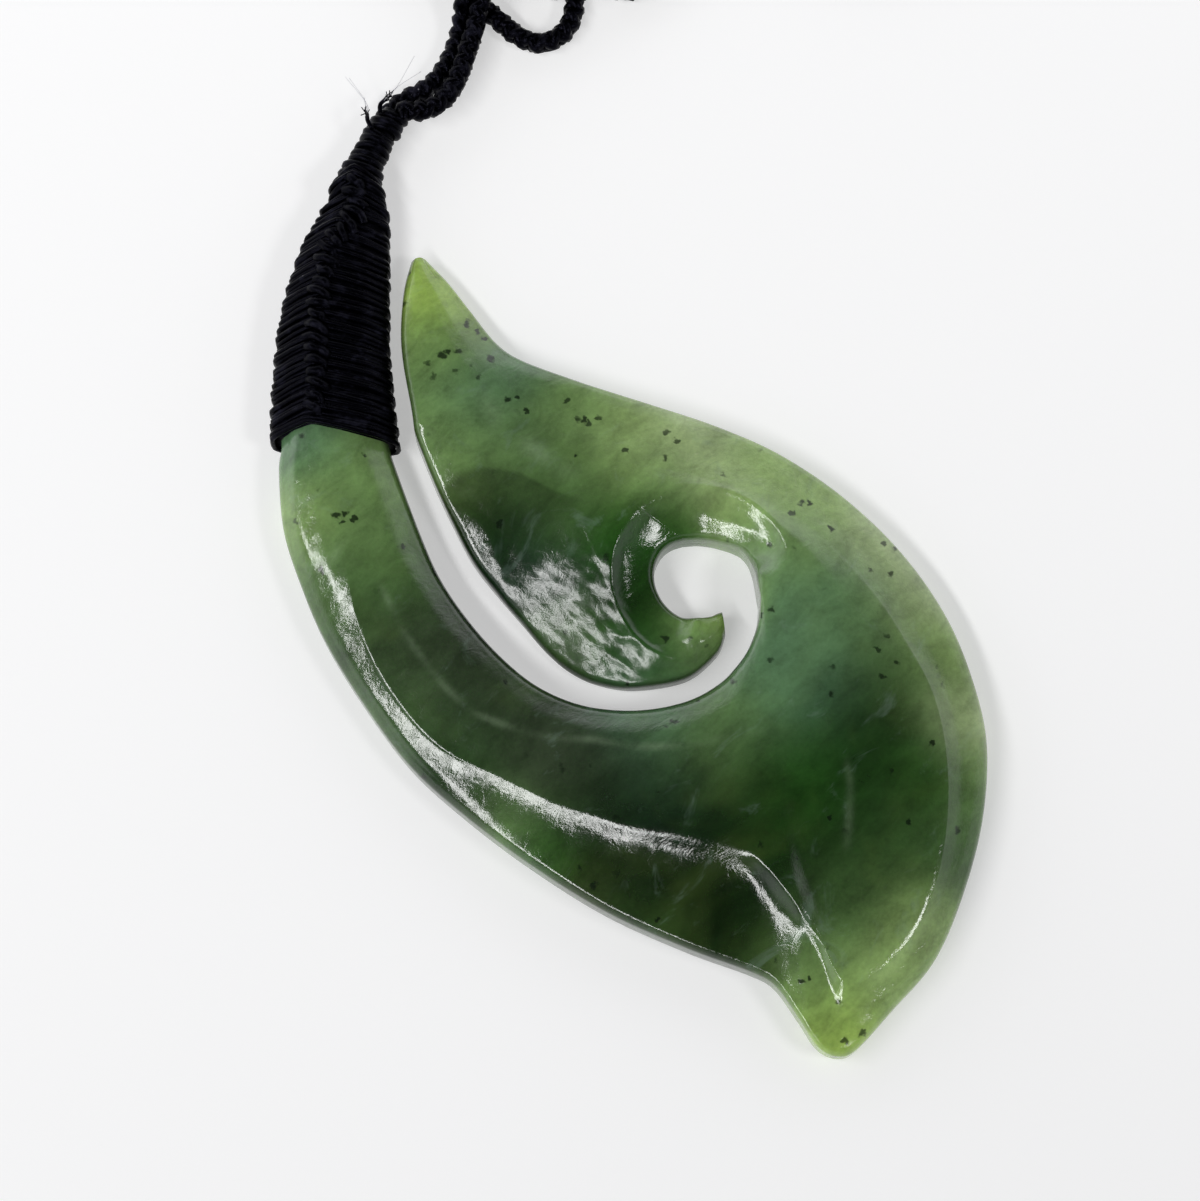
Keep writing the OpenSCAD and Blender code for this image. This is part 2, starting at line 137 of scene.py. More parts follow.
class Socket:
    """A shader or geometry value that takes Python's operators."""

    def __init__(self, tree: "Tree", socket: Any) -> None:
        """Wraps one output socket of a tree."""
        self.tree = tree
        self.socket = socket

    def __add__(self, other: Any) -> "Socket":
        """Returns this value plus the other."""
        return self.tree.math("ADD", self, other)

    def __radd__(self, other: Any) -> "Socket":
        """Returns the other value plus this one."""
        return self.tree.math("ADD", other, self)

    def __sub__(self, other: Any) -> "Socket":
        """Returns this value less the other."""
        return self.tree.math("SUBTRACT", self, other)

    def __rsub__(self, other: Any) -> "Socket":
        """Returns the other value less this one."""
        return self.tree.math("SUBTRACT", other, self)

    def __mul__(self, other: Any) -> "Socket":
        """Returns this value times the other."""
        return self.tree.math("MULTIPLY", self, other)

    def __rmul__(self, other: Any) -> "Socket":
        """Returns the other value times this one."""
        return self.tree.math("MULTIPLY", other, self)

    def least(self, other: Any) -> "Socket":
        """Returns the smaller of the two values."""
        return self.tree.math("MINIMUM", self, other)

    def most(self, other: Any) -> "Socket":
        """Returns the larger of the two values."""
        return self.tree.math("MAXIMUM", self, other)

    def between(self, low: float, high: float) -> "Socket":
        """Returns a smooth rise from 0 at low to 1 at high."""
        return self.tree.node(
            "ShaderNodeMapRange",
            {"interpolation_type": "SMOOTHSTEP"},
            {"Value": self, "From Min": low, "From Max": high},
        )


@dataclass(frozen=True)
class Noise:
    """Settings of one noise: its scale per metre, detail, roughness and warp."""

    scale: float
    detail: float = 3.0
    rough: float = 0.5
    warp: float = 0.0


@dataclass
class Tree:
    """Builds nodes in one node tree."""

    nodes: Any
    links: Any

    def node(
        self,
        kind: str,
        settings: dict[str, Any] | None = None,
        inputs: dict[Any, Any] | None = None,
        output: Any = 0,
    ) -> Socket:
        """Adds one node and joins its inputs.

        Args:
            kind: The node's type name.
            settings: Its own options.
            inputs: Values or sockets by input name or number.
            output: Which output is returned.

        Returns:
            The chosen output.
        """
        made = self.nodes.new(kind)
        for name, value in (settings or {}).items():
            setattr(made, name, value)
        for name, value in (inputs or {}).items():
            self.join(value, made.inputs[name])
        return Socket(self, made.outputs[output])

    def join(self, value: Any, target: Any) -> None:
        """Links a socket to an input, or sets the input's own value.

        Args:
            value: A socket or a plain value.
            target: The input.
        """
        if isinstance(value, Socket):
            self.links.new(value.socket, target)
        else:
            target.default_value = value

    def math(self, operation: str, *values: Any) -> Socket:
        """Adds one Math node."""
        return self.node("ShaderNodeMath", {"operation": operation}, dict(enumerate(values)))

    def vector(self, operation: str, *values: Any, output: str = "Vector") -> Socket:
        """Adds one Vector Math node."""
        return self.node(
            "ShaderNodeVectorMath", {"operation": operation}, dict(enumerate(values)), output
        )

    def mix(self, share: Any, first: Any, second: Any, blend: str = "MIX") -> Socket:
        """Mixes two colours; share 0 gives the first."""
        return self.node(
            "ShaderNodeMix",
            {"data_type": "RGBA", "blend_type": blend, "clamp_factor": True},
            {0: share, 6: first, 7: second},
            2,
        )

    def noise(self, where: Any, kind: Noise) -> Socket:
        """Adds one Noise Texture and returns its value, about 0.5 on average."""
        return self.node(
            "ShaderNodeTexNoise",
            {},
            {
                "Vector": where,
                "Scale": kind.scale,
                "Detail": kind.detail,
                "Roughness": kind.rough,
                "Distortion": kind.warp,
            },
        )

    def place(self) -> Socket:
        """Adds the place on the object itself, in metres."""
        return self.node("ShaderNodeTexCoord", output="Object")

    def grey(self, value: Socket) -> Socket:
        """Returns a grey colour of that brightness."""
        return self.node("ShaderNodeCombineColor", {}, {0: value, 1: value, 2: value})

    def bump(self, height: Socket, strength: float, depth: float) -> Socket:
        """Returns a normal roughened by a height, whose depth is in metres."""
        return self.node(
            "ShaderNodeBump", {}, {"Strength": strength, "Distance": depth, "Height": height}
        )


# Finishes


@dataclass(frozen=True)
class Speck:
    """A dark inclusion, placed in shares of the stone's size, with its radius in mm."""

    u: float
    v: float
    radius: float


@dataclass(frozen=True)
class Veil:
    """A thin cloud of another colour in the stone.

    Attributes:
        noise: The noise that it follows.
        low: Value of the noise where it starts.
        high: Value of the noise where it is full.
        share: Its share of the colour where it is full.
        colour: Its screen colour.
    """

    noise: Noise
    low: float
    high: float
    share: float
    colour: str


@dataclass(frozen=True)
class Nephrite:
    """Polished green nephrite whose large colours come from the mesh.

    Attributes:
        specks: Its large dark inclusions.
        tint: Name of the mesh's colour layer.
        hewn: Name of the mesh's layer that is 1 in the rough facet.
        grain_turn: Direction of the stone's grain in radians.
        grain_stretch: Scale of the noises along the grain.
        shade_shares: Shares of cloud, mottle and grain in the colour's brightness.
        shade_shift: How much is taken off their sum.
        wobble: How far a noise moves the rims of the inclusions, in metres.
        speck_rim: Where an inclusion's rim starts and ends, as shares of its radius.
        tiny_place: Where in the stone the tiny inclusions are.
        tiny_rim: Where their rims start and end, as shares of their spacing.
        relief_shares: Shares of the fibres and the grain in the fine relief.
        streaking: How much the fibres change the roughness.
        hewn_rough: How much rougher the facet is.
        bump_depth: Depth of the fine relief in metres.
        glow: Share of the light that enters the stone.
        glow_depth: How deep that light goes, in metres.
        glow_reach: How far its red, green and blue go, as shares of that.
    """

    specks: tuple[Speck, ...] = ()
    tint: str = "stone_tint"
    hewn: str = "stone_hewn"
    grain_turn: float = -0.75
    grain_stretch: Triple = (0.55, 1.0, 1.0)
    cloud: Noise = Noise(150.0, 4.0, 0.6, 0.6)
    mottle: Noise = Noise(520.0, 5.0, 0.62, 0.4)
    grain: Noise = Noise(2600.0, 3.0, 0.6)
    shade_shares: Triple = (0.65, 1.35, 0.45)
    shade_shift: float = 0.22
    yellow: Veil = Veil(Noise(95.0, 3.0, 0.5, 0.5), 0.52, 0.76, 0.10, "7d9a4a")
    milk: Veil = Veil(Noise(240.0, 4.0, 0.7, 1.2), 0.56, 0.74, 0.16, "8fa79a")
    speck_colour: str = "0d1a0c"
    wobble: float = 0.0011
    wobble_scale: float = 1500.0
    tiny_scale: float = 430.0
    tiny_place: Noise = Noise(140.0, 2.0)
    tiny_range: Pair = (0.42, 0.56)
    tiny_rim: Pair = (0.08, 0.18)
    tiny_share: float = 0.8
    speck_rim: Pair = (0.45, 1.15)
    speck_share: float = 0.88
    fibre: Noise = Noise(900.0, 4.0, 0.7, 0.8)
    roughness: float = 0.13
    streaking: float = 0.20
    hewn_rough: float = 0.08
    bump: float = 0.4
    bump_depth: float = 0.00013
    relief_shares: Pair = (0.85, 0.15)
    ior: float = 1.6
    glow: float = 0.07
    glow_depth: float = 0.0014
    glow_reach: Triple = (0.35, 1.0, 0.25)

    def build(self) -> Material:
        """Builds the material.

        Returns:
            The finished material.
        """
        material, tree, shader = new_material("nephrite")
        place = tree.place()
        painted = tree.node("ShaderNodeAttribute", {"attribute_name": self.tint})
        turn = {"Vector": place, "Rotation": (0.0, 0.0, self.grain_turn)}
        turned = tree.node("ShaderNodeMapping", {}, turn)
        stretch = {"Vector": turned, "Scale": self.grain_stretch}
        along = tree.node("ShaderNodeMapping", {}, stretch)
        cloud = tree.noise(along, self.cloud)
        mottle = tree.noise(along, self.mottle)
        grain = tree.noise(place, self.grain)
        slow, middle, fine = self.shade_shares
        shade = cloud * slow + mottle * middle + grain * fine - self.shade_shift
        colour = tree.mix(1.0, painted, tree.grey(shade), "MULTIPLY")
        for veil, where in ((self.yellow, place), (self.milk, along)):
            share = tree.noise(where, veil.noise).between(veil.low, veil.high) * veil.share
            colour = tree.mix(share, colour, linear(veil.colour))
        colour = tree.mix(self.dark_specks(tree, place), colour, linear(self.speck_colour))
        streak = tree.noise(along, self.fibre)
        coarse, close = self.relief_shares
        normal = tree.bump(streak * coarse + grain * close, self.bump, self.bump_depth)
        hewn = tree.node("ShaderNodeAttribute", {"attribute_name": self.hewn}, output="Fac")
        rough = self.roughness + (streak - 0.5) * self.streaking + hewn * self.hewn_rough
        set_inputs(
            tree,
            shader,
            {
                "Base Color": colour,
                "Roughness": rough,
                "Normal": normal,
                "IOR": self.ior,
                "Subsurface Weight": self.glow,
                "Subsurface Radius": self.glow_reach,
                "Subsurface Scale": self.glow_depth,
            },
        )
        return material

    def dark_specks(self, tree: Tree, place: Socket) -> Socket:
        """Returns 1 in the dark inclusions and 0 between them.

        Args:
            tree: The material's tree.
            place: The place on the stone in metres.

        Returns:
            The larger of the placed inclusions and the tiny ones strewn over the stone.
        """
        noise = {"Vector": place, "Scale": self.wobble_scale}
        wobble = tree.node("ShaderNodeTexNoise", {}, noise, "Color")
        push = tree.vector("MULTIPLY", wobble, (self.wobble, self.wobble, 0.0))
        moved = tree.vector("ADD", place, push)
        flat = tree.vector("MULTIPLY", moved, (1.0, 1.0, 0.0))
        shift = self.wobble / 2
        found: Socket | None = None
        for speck in self.specks:
            x, y = share_at(speck.u, speck.v) * MM + shift
            away = tree.vector("DISTANCE", flat, (x, y, 0.0), output="Value")
            inside = 1.0 - away.between(*(speck.radius * MM * rim for rim in self.speck_rim))
            found = inside if found is None else found.most(inside)
        cells = {"Vector": moved, "Scale": self.tiny_scale, "Randomness": 1.0}
        tiny = tree.node("ShaderNodeTexVoronoi", {"feature": "F1"}, cells)
        where = tree.noise(place, self.tiny_place).between(*self.tiny_range)
        dots = (1.0 - tiny.between(*self.tiny_rim)) * where * self.tiny_share
        return dots if found is None else (found * self.speck_share).most(dots)


@dataclass(frozen=True)
class Thread:
    """Black waxed thread with patches of painted sheen and small painted glints on it.

    Attributes:
        sheen_range: Values of the slow noise where the painted sheen lies on the thread.
        glint_rim: Where a painted glint starts and ends, as shares of their spacing.
        spread: How much the slow noise changes the roughness.
        shine: Strength of the highlight, of which a plain material has 0.5.
    """

    colour: str = "010102"
    # Colour of the painted sheen, which stands for the wax's highlights.
    sheen: str = "22222d"
    # Colour of the painted glints, small highlights on the wax.
    painted_glint: str = "8c8c94"
    roughness: float = 0.30
    fibre: float = 9000.0
    name: str = "waxed_thread"
    sheen_range: Pair = (0.52, 0.72)
    sheen_share: float = 0.55
    glint_scale: float = 700.0
    glint_range: Pair = (0.50, 0.62)
    glint_rim: Pair = (0.035, 0.075)
    glint_share: float = 0.8
    spread: float = 0.2
    bump: float = 0.35
    bump_depth: float = 0.0001
    shine: float = 0.06
    shine_tint: str = "d2d2ff"

    def build(self) -> Material:
        """Builds the material.

        Returns:
            The finished material.
        """
        material, tree, shader = new_material(self.name)
        place = tree.place()
        fine = tree.noise(place, Noise(self.fibre, 2.0))
        sheen_noise = tree.noise(place, Noise(self.fibre / 12, 3.0, 0.6))
        # Painted sheen: paler patches that stand for the wax's highlights.
        painted_sheen = sheen_noise.between(*self.sheen_range) * self.sheen_share
        colour = tree.mix(painted_sheen, linear(self.colour), linear(self.sheen))
        # Painted glints: small pale dots that stand for sparkles on the wax.
        cells = {"Vector": place, "Scale": self.glint_scale}
        fluff = tree.node("ShaderNodeTexVoronoi", {"feature": "F1"}, cells)
        dots = 1.0 - fluff.between(*self.glint_rim)
        painted_glint = dots * sheen_noise.between(*self.glint_range) * self.glint_share
        colour = tree.mix(painted_glint, colour, linear(self.painted_glint))
        normal = tree.bump(fine, self.bump, self.bump_depth)
        set_inputs(
            tree,
            shader,
            {
                "Base Color": colour,
                "Roughness": self.roughness + (sheen_noise - 0.5) * self.spread,
                "Normal": normal,
                "Specular IOR Level": self.shine,
                "Specular Tint": linear(self.shine_tint),
            },
        )
        return material


@dataclass(frozen=True)
class TableTop:
    """A plain pale surface that glows with painted light of its own, a little darker towards the
    front.

    Its own light is the middle one under the pendant and grows by the fall for each metre
    towards the back, as far as the reach in metres.
    """

    colour: str = "d2d2d2"
    own_light: float = 0.64
    middle: float = 0.625
    fall: float = 1.9
    reach: float = 0.07
    roughness: float = 0.6

    def build(self) -> Material:
        """Builds the material.

        Returns:
            The finished material.
        """
        material, tree, shader = new_material("pale_table")
        along = tree.node("ShaderNodeSeparateXYZ", {}, {"Vector": tree.place()}, "Y")
        brightness = self.middle + along.most(-self.reach).least(self.reach) * self.fall
        set_inputs(
            tree,
            shader,
            {
                "Base Color": linear(self.colour),
                "Roughness": self.roughness,
                "Emission Color": tree.grey(brightness),
                "Emission Strength": self.own_light,
            },
        )
        return material


def new_material(name: str) -> tuple[Material, Tree, Any]:
    """Starts a material with one Principled shader.

    Args:
        name: The material's name.

    Returns:
        The material, its tree and the shader's node.
    """
    material = bpy.data.materials.new(name)
    material.use_nodes = True
    nodes = material.node_tree.nodes
    nodes.clear()
    tree = Tree(nodes, material.node_tree.links)
    shader = nodes.new("ShaderNodeBsdfPrincipled")
    end = nodes.new("ShaderNodeOutputMaterial")
    tree.links.new(shader.outputs[0], end.inputs["Surface"])
    return material, tree, shader


def set_inputs(tree: Tree, shader: Any, values: dict[str, Any]) -> None:
    """Sets or links several of a shader's inputs."""
    for name, value in values.items():
        tree.join(value, shader.inputs[name])


# The stone's outline


@dataclass(frozen=True)
class ShankRow:
    """Middle, width share and crest place of one row of the shank."""

    x: float
    y: float
    width: float
    crest: float


@dataclass(frozen=True)
class BowlRow:
    """Outer and inner place of one row of the bowl, and its crest's place between them."""

    outer_x: float
    outer_y: float
    inner_x: float
    inner_y: float
    crest: float


@dataclass(frozen=True)
class ShoulderRow:
    """Outer place, angle and radius share on the hole, and crest's place of one row."""

    outer_x: float
    outer_y: float
    angle: float
    radius: float
    crest: float


@dataclass(frozen=True)
class BladeRow:
    """Upper place, row and gap across the slot, and crest's place of one row."""

    outer_x: float
    outer_y: float
    slot_row: float
    gap: float
    crest: float


@dataclass(frozen=True)
class LobeRow:
    """Row and gap across the slot, angle and radius share on the hole, and crest's place."""

    slot_row: float
    gap: float
    angle: float
    radius: float
    crest: float


SHANK = records(
    ShankRow,
    (0.111, 1.000, 0.15, 0.48), (0.105, 0.984, 0.36, 0.46), (0.091, 0.93, 0.56, 0.4),
    (0.08, 0.865, 0.69, 0.36), (0.076, 0.795, 0.77, 0.35), (0.08, 0.725, 0.85, 0.38),
    (0.083, 0.695, 0.87, 0.41), (0.0875, 0.665, 0.95, 0.46),
)
BOWL = records(
    BowlRow,
    (0.012, 0.597, 0.206, 0.592, 0.45), (0.036, 0.537, 0.236, 0.537, 0.36),
    (0.074, 0.467, 0.276, 0.488, 0.26), (0.13, 0.394, 0.322, 0.445, 0.2),
    (0.197, 0.322, 0.372, 0.411, 0.22), (0.273, 0.266, 0.428, 0.39, 0.31),
    (0.365, 0.21, 0.485, 0.382, 0.36), (0.47, 0.157, 0.54, 0.3835, 0.405),
    (0.58, 0.117, 0.59, 0.394, 0.43), (0.665, 0.092, 0.628, 0.412, 0.41),
    (0.7, 0.076, 0.65, 0.43, 0.37), (0.732, 0.04, 0.665, 0.447, 0.35),
    (0.757, 0.01, 0.675, 0.465, 0.33), (0.785, 0.000, 0.681, 0.482, 0.265),
)
SHOULDER = records(
    ShoulderRow,
    (0.811, 0.009, -24, 1.44, 0.14), (0.86, 0.051, -13, 1.31, 0.09),
    (0.92, 0.106, -4, 1.25, 0.09), (0.962, 0.18, 4, 1.22, 0.11),
    (0.991, 0.262, 12, 1.2, 0.16), (1.000, 0.345, 20, 1.19, 0.23),
    (0.985, 0.415, 28, 1.17, 0.32), (0.95, 0.492, 37, 1.13, 0.4),
    (0.89, 0.567, 47, 1.05, 0.46), (0.81, 0.633, 57, 0.98, 0.5),
    (0.72, 0.685, 68, 0.94, 0.52), (0.63, 0.719, 80, 0.92, 0.54),
    (0.53, 0.747, 94, 0.93, 0.55), (0.44, 0.771, 112, 0.98, 0.58),
)
BLADE = records(
    BladeRow,
    (0.352, 0.799, 4.85, 0.86, 0.45), (0.312, 0.822, 4.15, 0.78, 0.45),
    (0.274, 0.862, 3.6, 0.73, 0.45), (0.243, 0.896, 3.05, 0.76, 0.47),
    (0.219, 0.918, 2.55, 0.85, 0.5), (0.209, 0.927, 2.1, 1.03, 0.5),
)
LOBE = records(
    LobeRow,
    (6.05, 0.92, 127, 1.03, 0.6), (7.4, 1.00, 141, 1.06, 0.62),
    (8.15, 1.12, 155, 1.06, 0.66), (9.00, 1.22, 169, 1.05, 0.68),
    (9.85, 1.33, 184, 1.03, 0.68), (10.7, 1.36, 199, 1.01, 0.66),
    (11.6, 1.25, 214, 0.99, 0.62), (12.5, 1.11, 231, 0.97, 0.58),
    (13.4, 1.00, 249, 0.95, 0.54), (14.5, 0.92, 267, 0.93, 0.52),
    (16.2, 0.86, 284, 0.9, 0.5), (18.2, 0.84, 297, 0.86, 0.5),
    (19.9, 0.9, 305, 0.86, 0.5),
)
BOUND_ROWS = 7
ROOT_CREST = (0.335, 0.700)
ROOT_EDGE = (5.35, 0.88)


@dataclass(frozen=True)
class Heights:
    """Heights in mm along one section, from its outer edge to its inner edge.

    Attributes:
        row: Row of the band that the heights are for.
        outer: Height of the outer edge.
        outer_bevel: Height where the outer bevel ends.
        outer_mid: Height half way from there to the crest.
        crest: Height of the faces where they meet at the crest.
        inner_mid: Height half way from the crest to the inner bevel.
        inner_bevel: Height where the inner bevel starts.
        inner: Height of the inner edge.
        lip: How far the crest itself stands above the faces.
    """

    row: float
    outer: float
    outer_bevel: float
    outer_mid: float
    crest: float
    inner_mid: float
    inner_bevel: float
    inner: float
    lip: float = 0.0


TRUNK_HEIGHTS = records(
    Heights,
    (0, 1.9, 2.3, 2.5, 2.7, 2.6, 2.4, 2.0), (3, 2.4, 3.5, 3.9, 4.1, 4.0, 3.6, 2.5),
    (7, 2.5, 3.8, 4.4, 4.7, 4.5, 4.0, 2.7), (8, 2.8, 3.8, 4.4, 4.7, 4.7, 4.3, 2.9),
    (9, 2.9, 3.7, 4.35, 4.8, 4.9, 4.6, 3.3), (10, 2.9, 3.7, 4.1, 4.5, 5.0, 4.9, 3.7),
    (11, 2.9, 3.65, 3.95, 4.25, 5.1, 5.1, 4.0), (12, 3.0, 3.75, 4.05, 4.35, 5.2, 5.2, 4.2),
    (13, 3.4, 3.9, 4.25, 4.7, 5.4, 5.4, 4.3, 0.2), (14, 3.6, 4.0, 4.35, 4.8, 5.6, 5.6, 4.4, 0.5),
    (15, 3.7, 3.95, 4.5, 5.1, 5.8, 5.8, 4.6, 0.9), (16, 3.7, 3.9, 4.6, 5.4, 6.1, 6.1, 4.7, 1.15),
    (18, 3.5, 3.7, 4.5, 5.4, 6.2, 6.2, 4.8, 1.25), (20, 3.3, 3.5, 4.3, 5.1, 6.1, 6.1, 4.9, 1.15),
    (21, 3.0, 3.2, 3.8, 4.6, 5.8, 6.1, 4.9, 0.85), (22, 2.65, 3.15, 3.7, 4.3, 5.7, 6.1, 5.0, 0.25),
    (23, 2.65, 3.35, 3.8, 4.4, 5.7, 6.0, 5.0), (25, 2.7, 3.4, 3.9, 4.5, 5.7, 6.0, 5.0),
    (27, 2.9, 3.4, 3.9, 4.7, 5.8, 6.1, 5.1), (30, 2.8, 3.3, 4.1, 4.9, 5.8, 6.0, 5.2),
    (33, 2.8, 3.3, 4.0, 4.8, 5.5, 5.8, 5.2), (35, 2.8, 3.3, 4.0, 4.7, 5.1, 5.4, 5.0),
)
BLADE_HEIGHTS = records(
    Heights,
    (0, 2.8, 3.3, 4.0, 4.7, 4.9, 4.85, 4.6), (2, 2.3, 3.0, 3.6, 4.0, 4.2, 4.2, 3.95),
    (4, 1.9, 2.5, 2.9, 3.1, 3.2, 3.1, 2.85), (6, 1.5, 1.9, 2.1, 2.2, 2.2, 2.0, 1.6),
)
LOBE_HEIGHTS = records(
    Heights,
    (0, 4.6, 4.85, 4.9, 4.7, 5.2, 5.5, 5.0), (1.5, 4.0, 4.4, 4.7, 5.0, 5.5, 5.7, 5.1),
    (3, 2.9, 3.7, 4.4, 5.3, 5.7, 5.8, 5.2), (6, 2.7, 3.2, 4.3, 5.6, 5.9, 5.9, 5.3),
    (9, 2.7, 3.2, 4.0, 4.9, 5.0, 4.9, 4.4), (11, 2.5, 2.9, 3.3, 3.7, 3.7, 3.6, 3.3),
    (13, 2.2, 2.4, 2.6, 2.7, 2.7, 2.6, 2.3),
)


@dataclass(frozen=True)
class Notch:
    """A carved hollow with one crisp border and painted shade beside it, with lengths in mm.

    The stone is cut away on the right-hand side of the border as it runs, or on its left.

    Attributes:
        border: Places in shares of the stone's size.
        depth: How deep it is.
        steep: Distance over which it goes down.
        reach: Distance over which it fades out again.
        left: Whether the left-hand side is cut away.
        fade: Distance over which it starts and ends.
        shade: Share of the colour that painted shade takes away on the cut side beside the border.
        painted_shade_start: Distance over which that starts.
        painted_shade_reach: Distance over which it fades out again.
    """

    border: tuple[Pair, ...]
    depth: float
    steep: float
    reach: float
    left: bool = False
    fade: float = 5.0
    shade: float = 0.0
    painted_shade_start: float = 0.35
    painted_shade_reach: float = 3.5


@dataclass(frozen=True)
class Facet:
    """A hollow cut across the lobe, down from a place in mm, with its slope and direction.

    The bend is how fast the slope grows, per mm, and soft how rounded its border is, in mm.
    """

    x: float
    y: float
    height: float
    slope: float
    azimuth: float
    bend: float
    soft: float = 0.35


@dataclass(frozen=True)
class Wave:
    """A random relief: its depth and length in mm, its seed and its stretch.

    The stretch is how much longer its waves are towards the lower right.
    """

    depth: float
    length: float
    seed: int
    stretch: float = 1.0


@dataclass(frozen=True)
class Hewing:
    """The tool marks in the facet, with lengths in mm.

    Attributes:
        round_ring: Middle of the smooth ground round the raised ring, from the hole's middle.
        ring_reach: How far that ground reaches.
        border: Depth of the facet over which the marks grow at its border.
        early: Share of them at the border itself.
        point_y: Place below which the lobe's point is hewn all over.
        point_fade: Distance over which that starts.
        chips: The chips.
        fine: The fine marks on them.
        swell: The long waves under them.
        polish: The faint waves that the whole top has.
    """

    round_ring: Pair = (-0.8, 0.9)
    ring_reach: float = 6.6
    border: float = 0.9
    early: float = 0.4
    point_y: float = -5.0
    point_fade: float = 1.5
    chips: Wave = Wave(0.075, 3.4, 3, 1.6)
    fine: Wave = Wave(0.023, 1.1, 5, 1.5)
    swell: Wave = Wave(0.10, 7.0, 14)
    polish: Wave = Wave(0.014, 2.6, 4, 3.0)


@dataclass(frozen=True)
class Hollow:
    """The hollow round the hole, with lengths in mm.

    Attributes:
        rim: Distance of its rim from the hole's middle.
        depth: How deep it is.
        steep: Distance over which it goes down.
        start: Direction in degrees where it starts.
        end: Direction in degrees where it ends.
        fade: Degrees over which it starts and ends.
    """

    rim: float = 8.0
    depth: float = 1.9
    steep: float = 1.7
    start: float = 8.0
    end: float = 255.0
    fade: float = 28.0


@dataclass(frozen=True)
class PaleLine:
    """A thin pale line painted into the stone's colour, in shares of its size.

    It is so wide, and starts and ends over so long a fade, in mm.
    """

    line: tuple[Pair, ...]
    width: float
    strength: float
    colour: str = "8fa584"
    fade: float = 3.0


@dataclass(frozen=True)
class Patch:
    """A painted colour of the stone round one place, in shares of its size, with a reach in mm."""

    u: float
    v: float
    reach: float
    green: Green


def share_at(x: float, y: float) -> Array:
    """Turns shares of the stone's size into millimetres."""
    return np.array([STONE_X + x * STONE_W, STONE_Y + y * STONE_L])


def on_hole(angle: float, radius: float) -> Array:
    """Returns a place round the hole, with the radius as a share of the hole's own."""
    turn = math.radians(angle)
    return share_at(*HOLE_AT) + HOLE_R * radius * np.array([math.cos(turn), math.sin(turn)])


def unit(rows: Array) -> Array:
    """Returns each row at length 1."""
    return rows / np.linalg.norm(rows, axis=1)[:, None]


def steps_of(line: Array) -> Array:
    """Returns the length of each step along a line of points."""
    return np.linalg.norm(np.diff(line, axis=0), axis=1)


def travelled(line: Array) -> Array:
    """Returns the distance of each point from the start, measured along the line."""
    return np.concatenate([[0], np.cumsum(steps_of(line))])


def picked(line: Array, far: Array) -> Array:
    """Returns the places at those distances along the line."""
    here = travelled(line)
    return np.column_stack([np.interp(far, here, column) for column in line.T])


def curve(rows: Array, at: float) -> Array:
    """Returns a place on a smooth curve through rows of numbers.

    Args:
        rows: One row of numbers per stop.
        at: Row number, whole or between.

    Returns:
        The numbers there.
    """
    last = len(rows) - 1
    i = min(int(math.floor(at)), last - 1)
    f = at - i
    a, b, c, d = (rows[min(max(k, 0), last)] for k in (i - 1, i, i + 1, i + 2))
    bend = (c - a) * f + (2 * a - 5 * b + 4 * c - d) * f**2 + (3 * b - a - 3 * c + d) * f**3
    return 0.5 * (2 * b + bend)


def ripple(flat: Array, wave: Wave) -> Array:
    """Returns a random wavy field between about -1 and 1.

    Args:
        flat: Points in mm.
        wave: The waves, whose depth isn't used here.

    Returns:
        One number per point.
    """
    rng = np.random.default_rng(wave.seed)
    x, y = flat[:, 0], flat[:, 1]
    turned = np.column_stack([(x - y) / wave.stretch, x + y])
    total = np.zeros(len(flat))
    trains, height = 18, 4.2
    for _ in range(trains):
        way = rng.uniform(0, 2 * math.pi)
        k = 2 * math.pi / (wave.length * rng.uniform(0.7, 1.6)) / math.sqrt(2)
        phase = k * (turned @ np.array([math.cos(way), math.sin(way)]))
        total += np.sin(phase + rng.uniform(0, 2 * math.pi))
    return total / height


def smooth_noise(x: Array, seed: int, waves: int = 9) -> Array:
    """Makes a slow random wave.

    Args:
        x: Places along the wave.
        seed: Seed of its draws.
        waves: How many plain waves it is the sum of.

    Returns:
        A number between about -1 and 1 for each place.
    """
    rng = np.random.default_rng(seed)
    total = np.zeros_like(x)
    for _ in range(waves):
        total += np.sin(x * rng.uniform(0.4, 2.2) + rng.uniform(0, 2 * math.pi))
    return total / math.sqrt(waves) * 0.8


# Meshes


def linked(name: str, data: Any) -> Object:
    """Makes an object from its data and links it to the scene."""
    made = bpy.data.objects.new(name, data)
    bpy.context.scene.collection.objects.link(made)
    return made


def mesh_object(
    name: str, points: Array, faces: Iterable[Sequence[int]], smooth: bool = True
) -> Object:
    """Makes a mesh object from points in millimetres.

    Args:
        name: The object's name.
        points: One point per row.
        faces: Corner numbers of each face.
        smooth: Whether its faces are shaded smooth.

    Returns:
        The object, linked to the scene.
    """
    mesh = bpy.data.meshes.new(name)
    mesh.from_pydata((np.asarray(points) * MM).tolist(), [], [list(f) for f in faces])
    mesh.validate()
    if smooth:
        mesh.shade_smooth()
    else:
        mesh.shade_flat()
    return linked(name, mesh)


def path_object(name: str, runs: Sequence[Array]) -> Object:
    """Makes an object of bare edges.

    Args:
        name: The object's name.
        runs: Paths in mm, one run of edges for each.

    Returns:
        The object, linked to the scene.
    """
    points: list[list[float]] = []
    edges: list[tuple[int, int]] = []
    for run in runs:
        first = len(points)
        points += (np.asarray(run) * MM).tolist()
        edges += [(first + i, first + i + 1) for i in range(len(run) - 1)]
    mesh = bpy.data.meshes.new(name)
    mesh.from_pydata(points, edges, [])
    return linked(name, mesh)


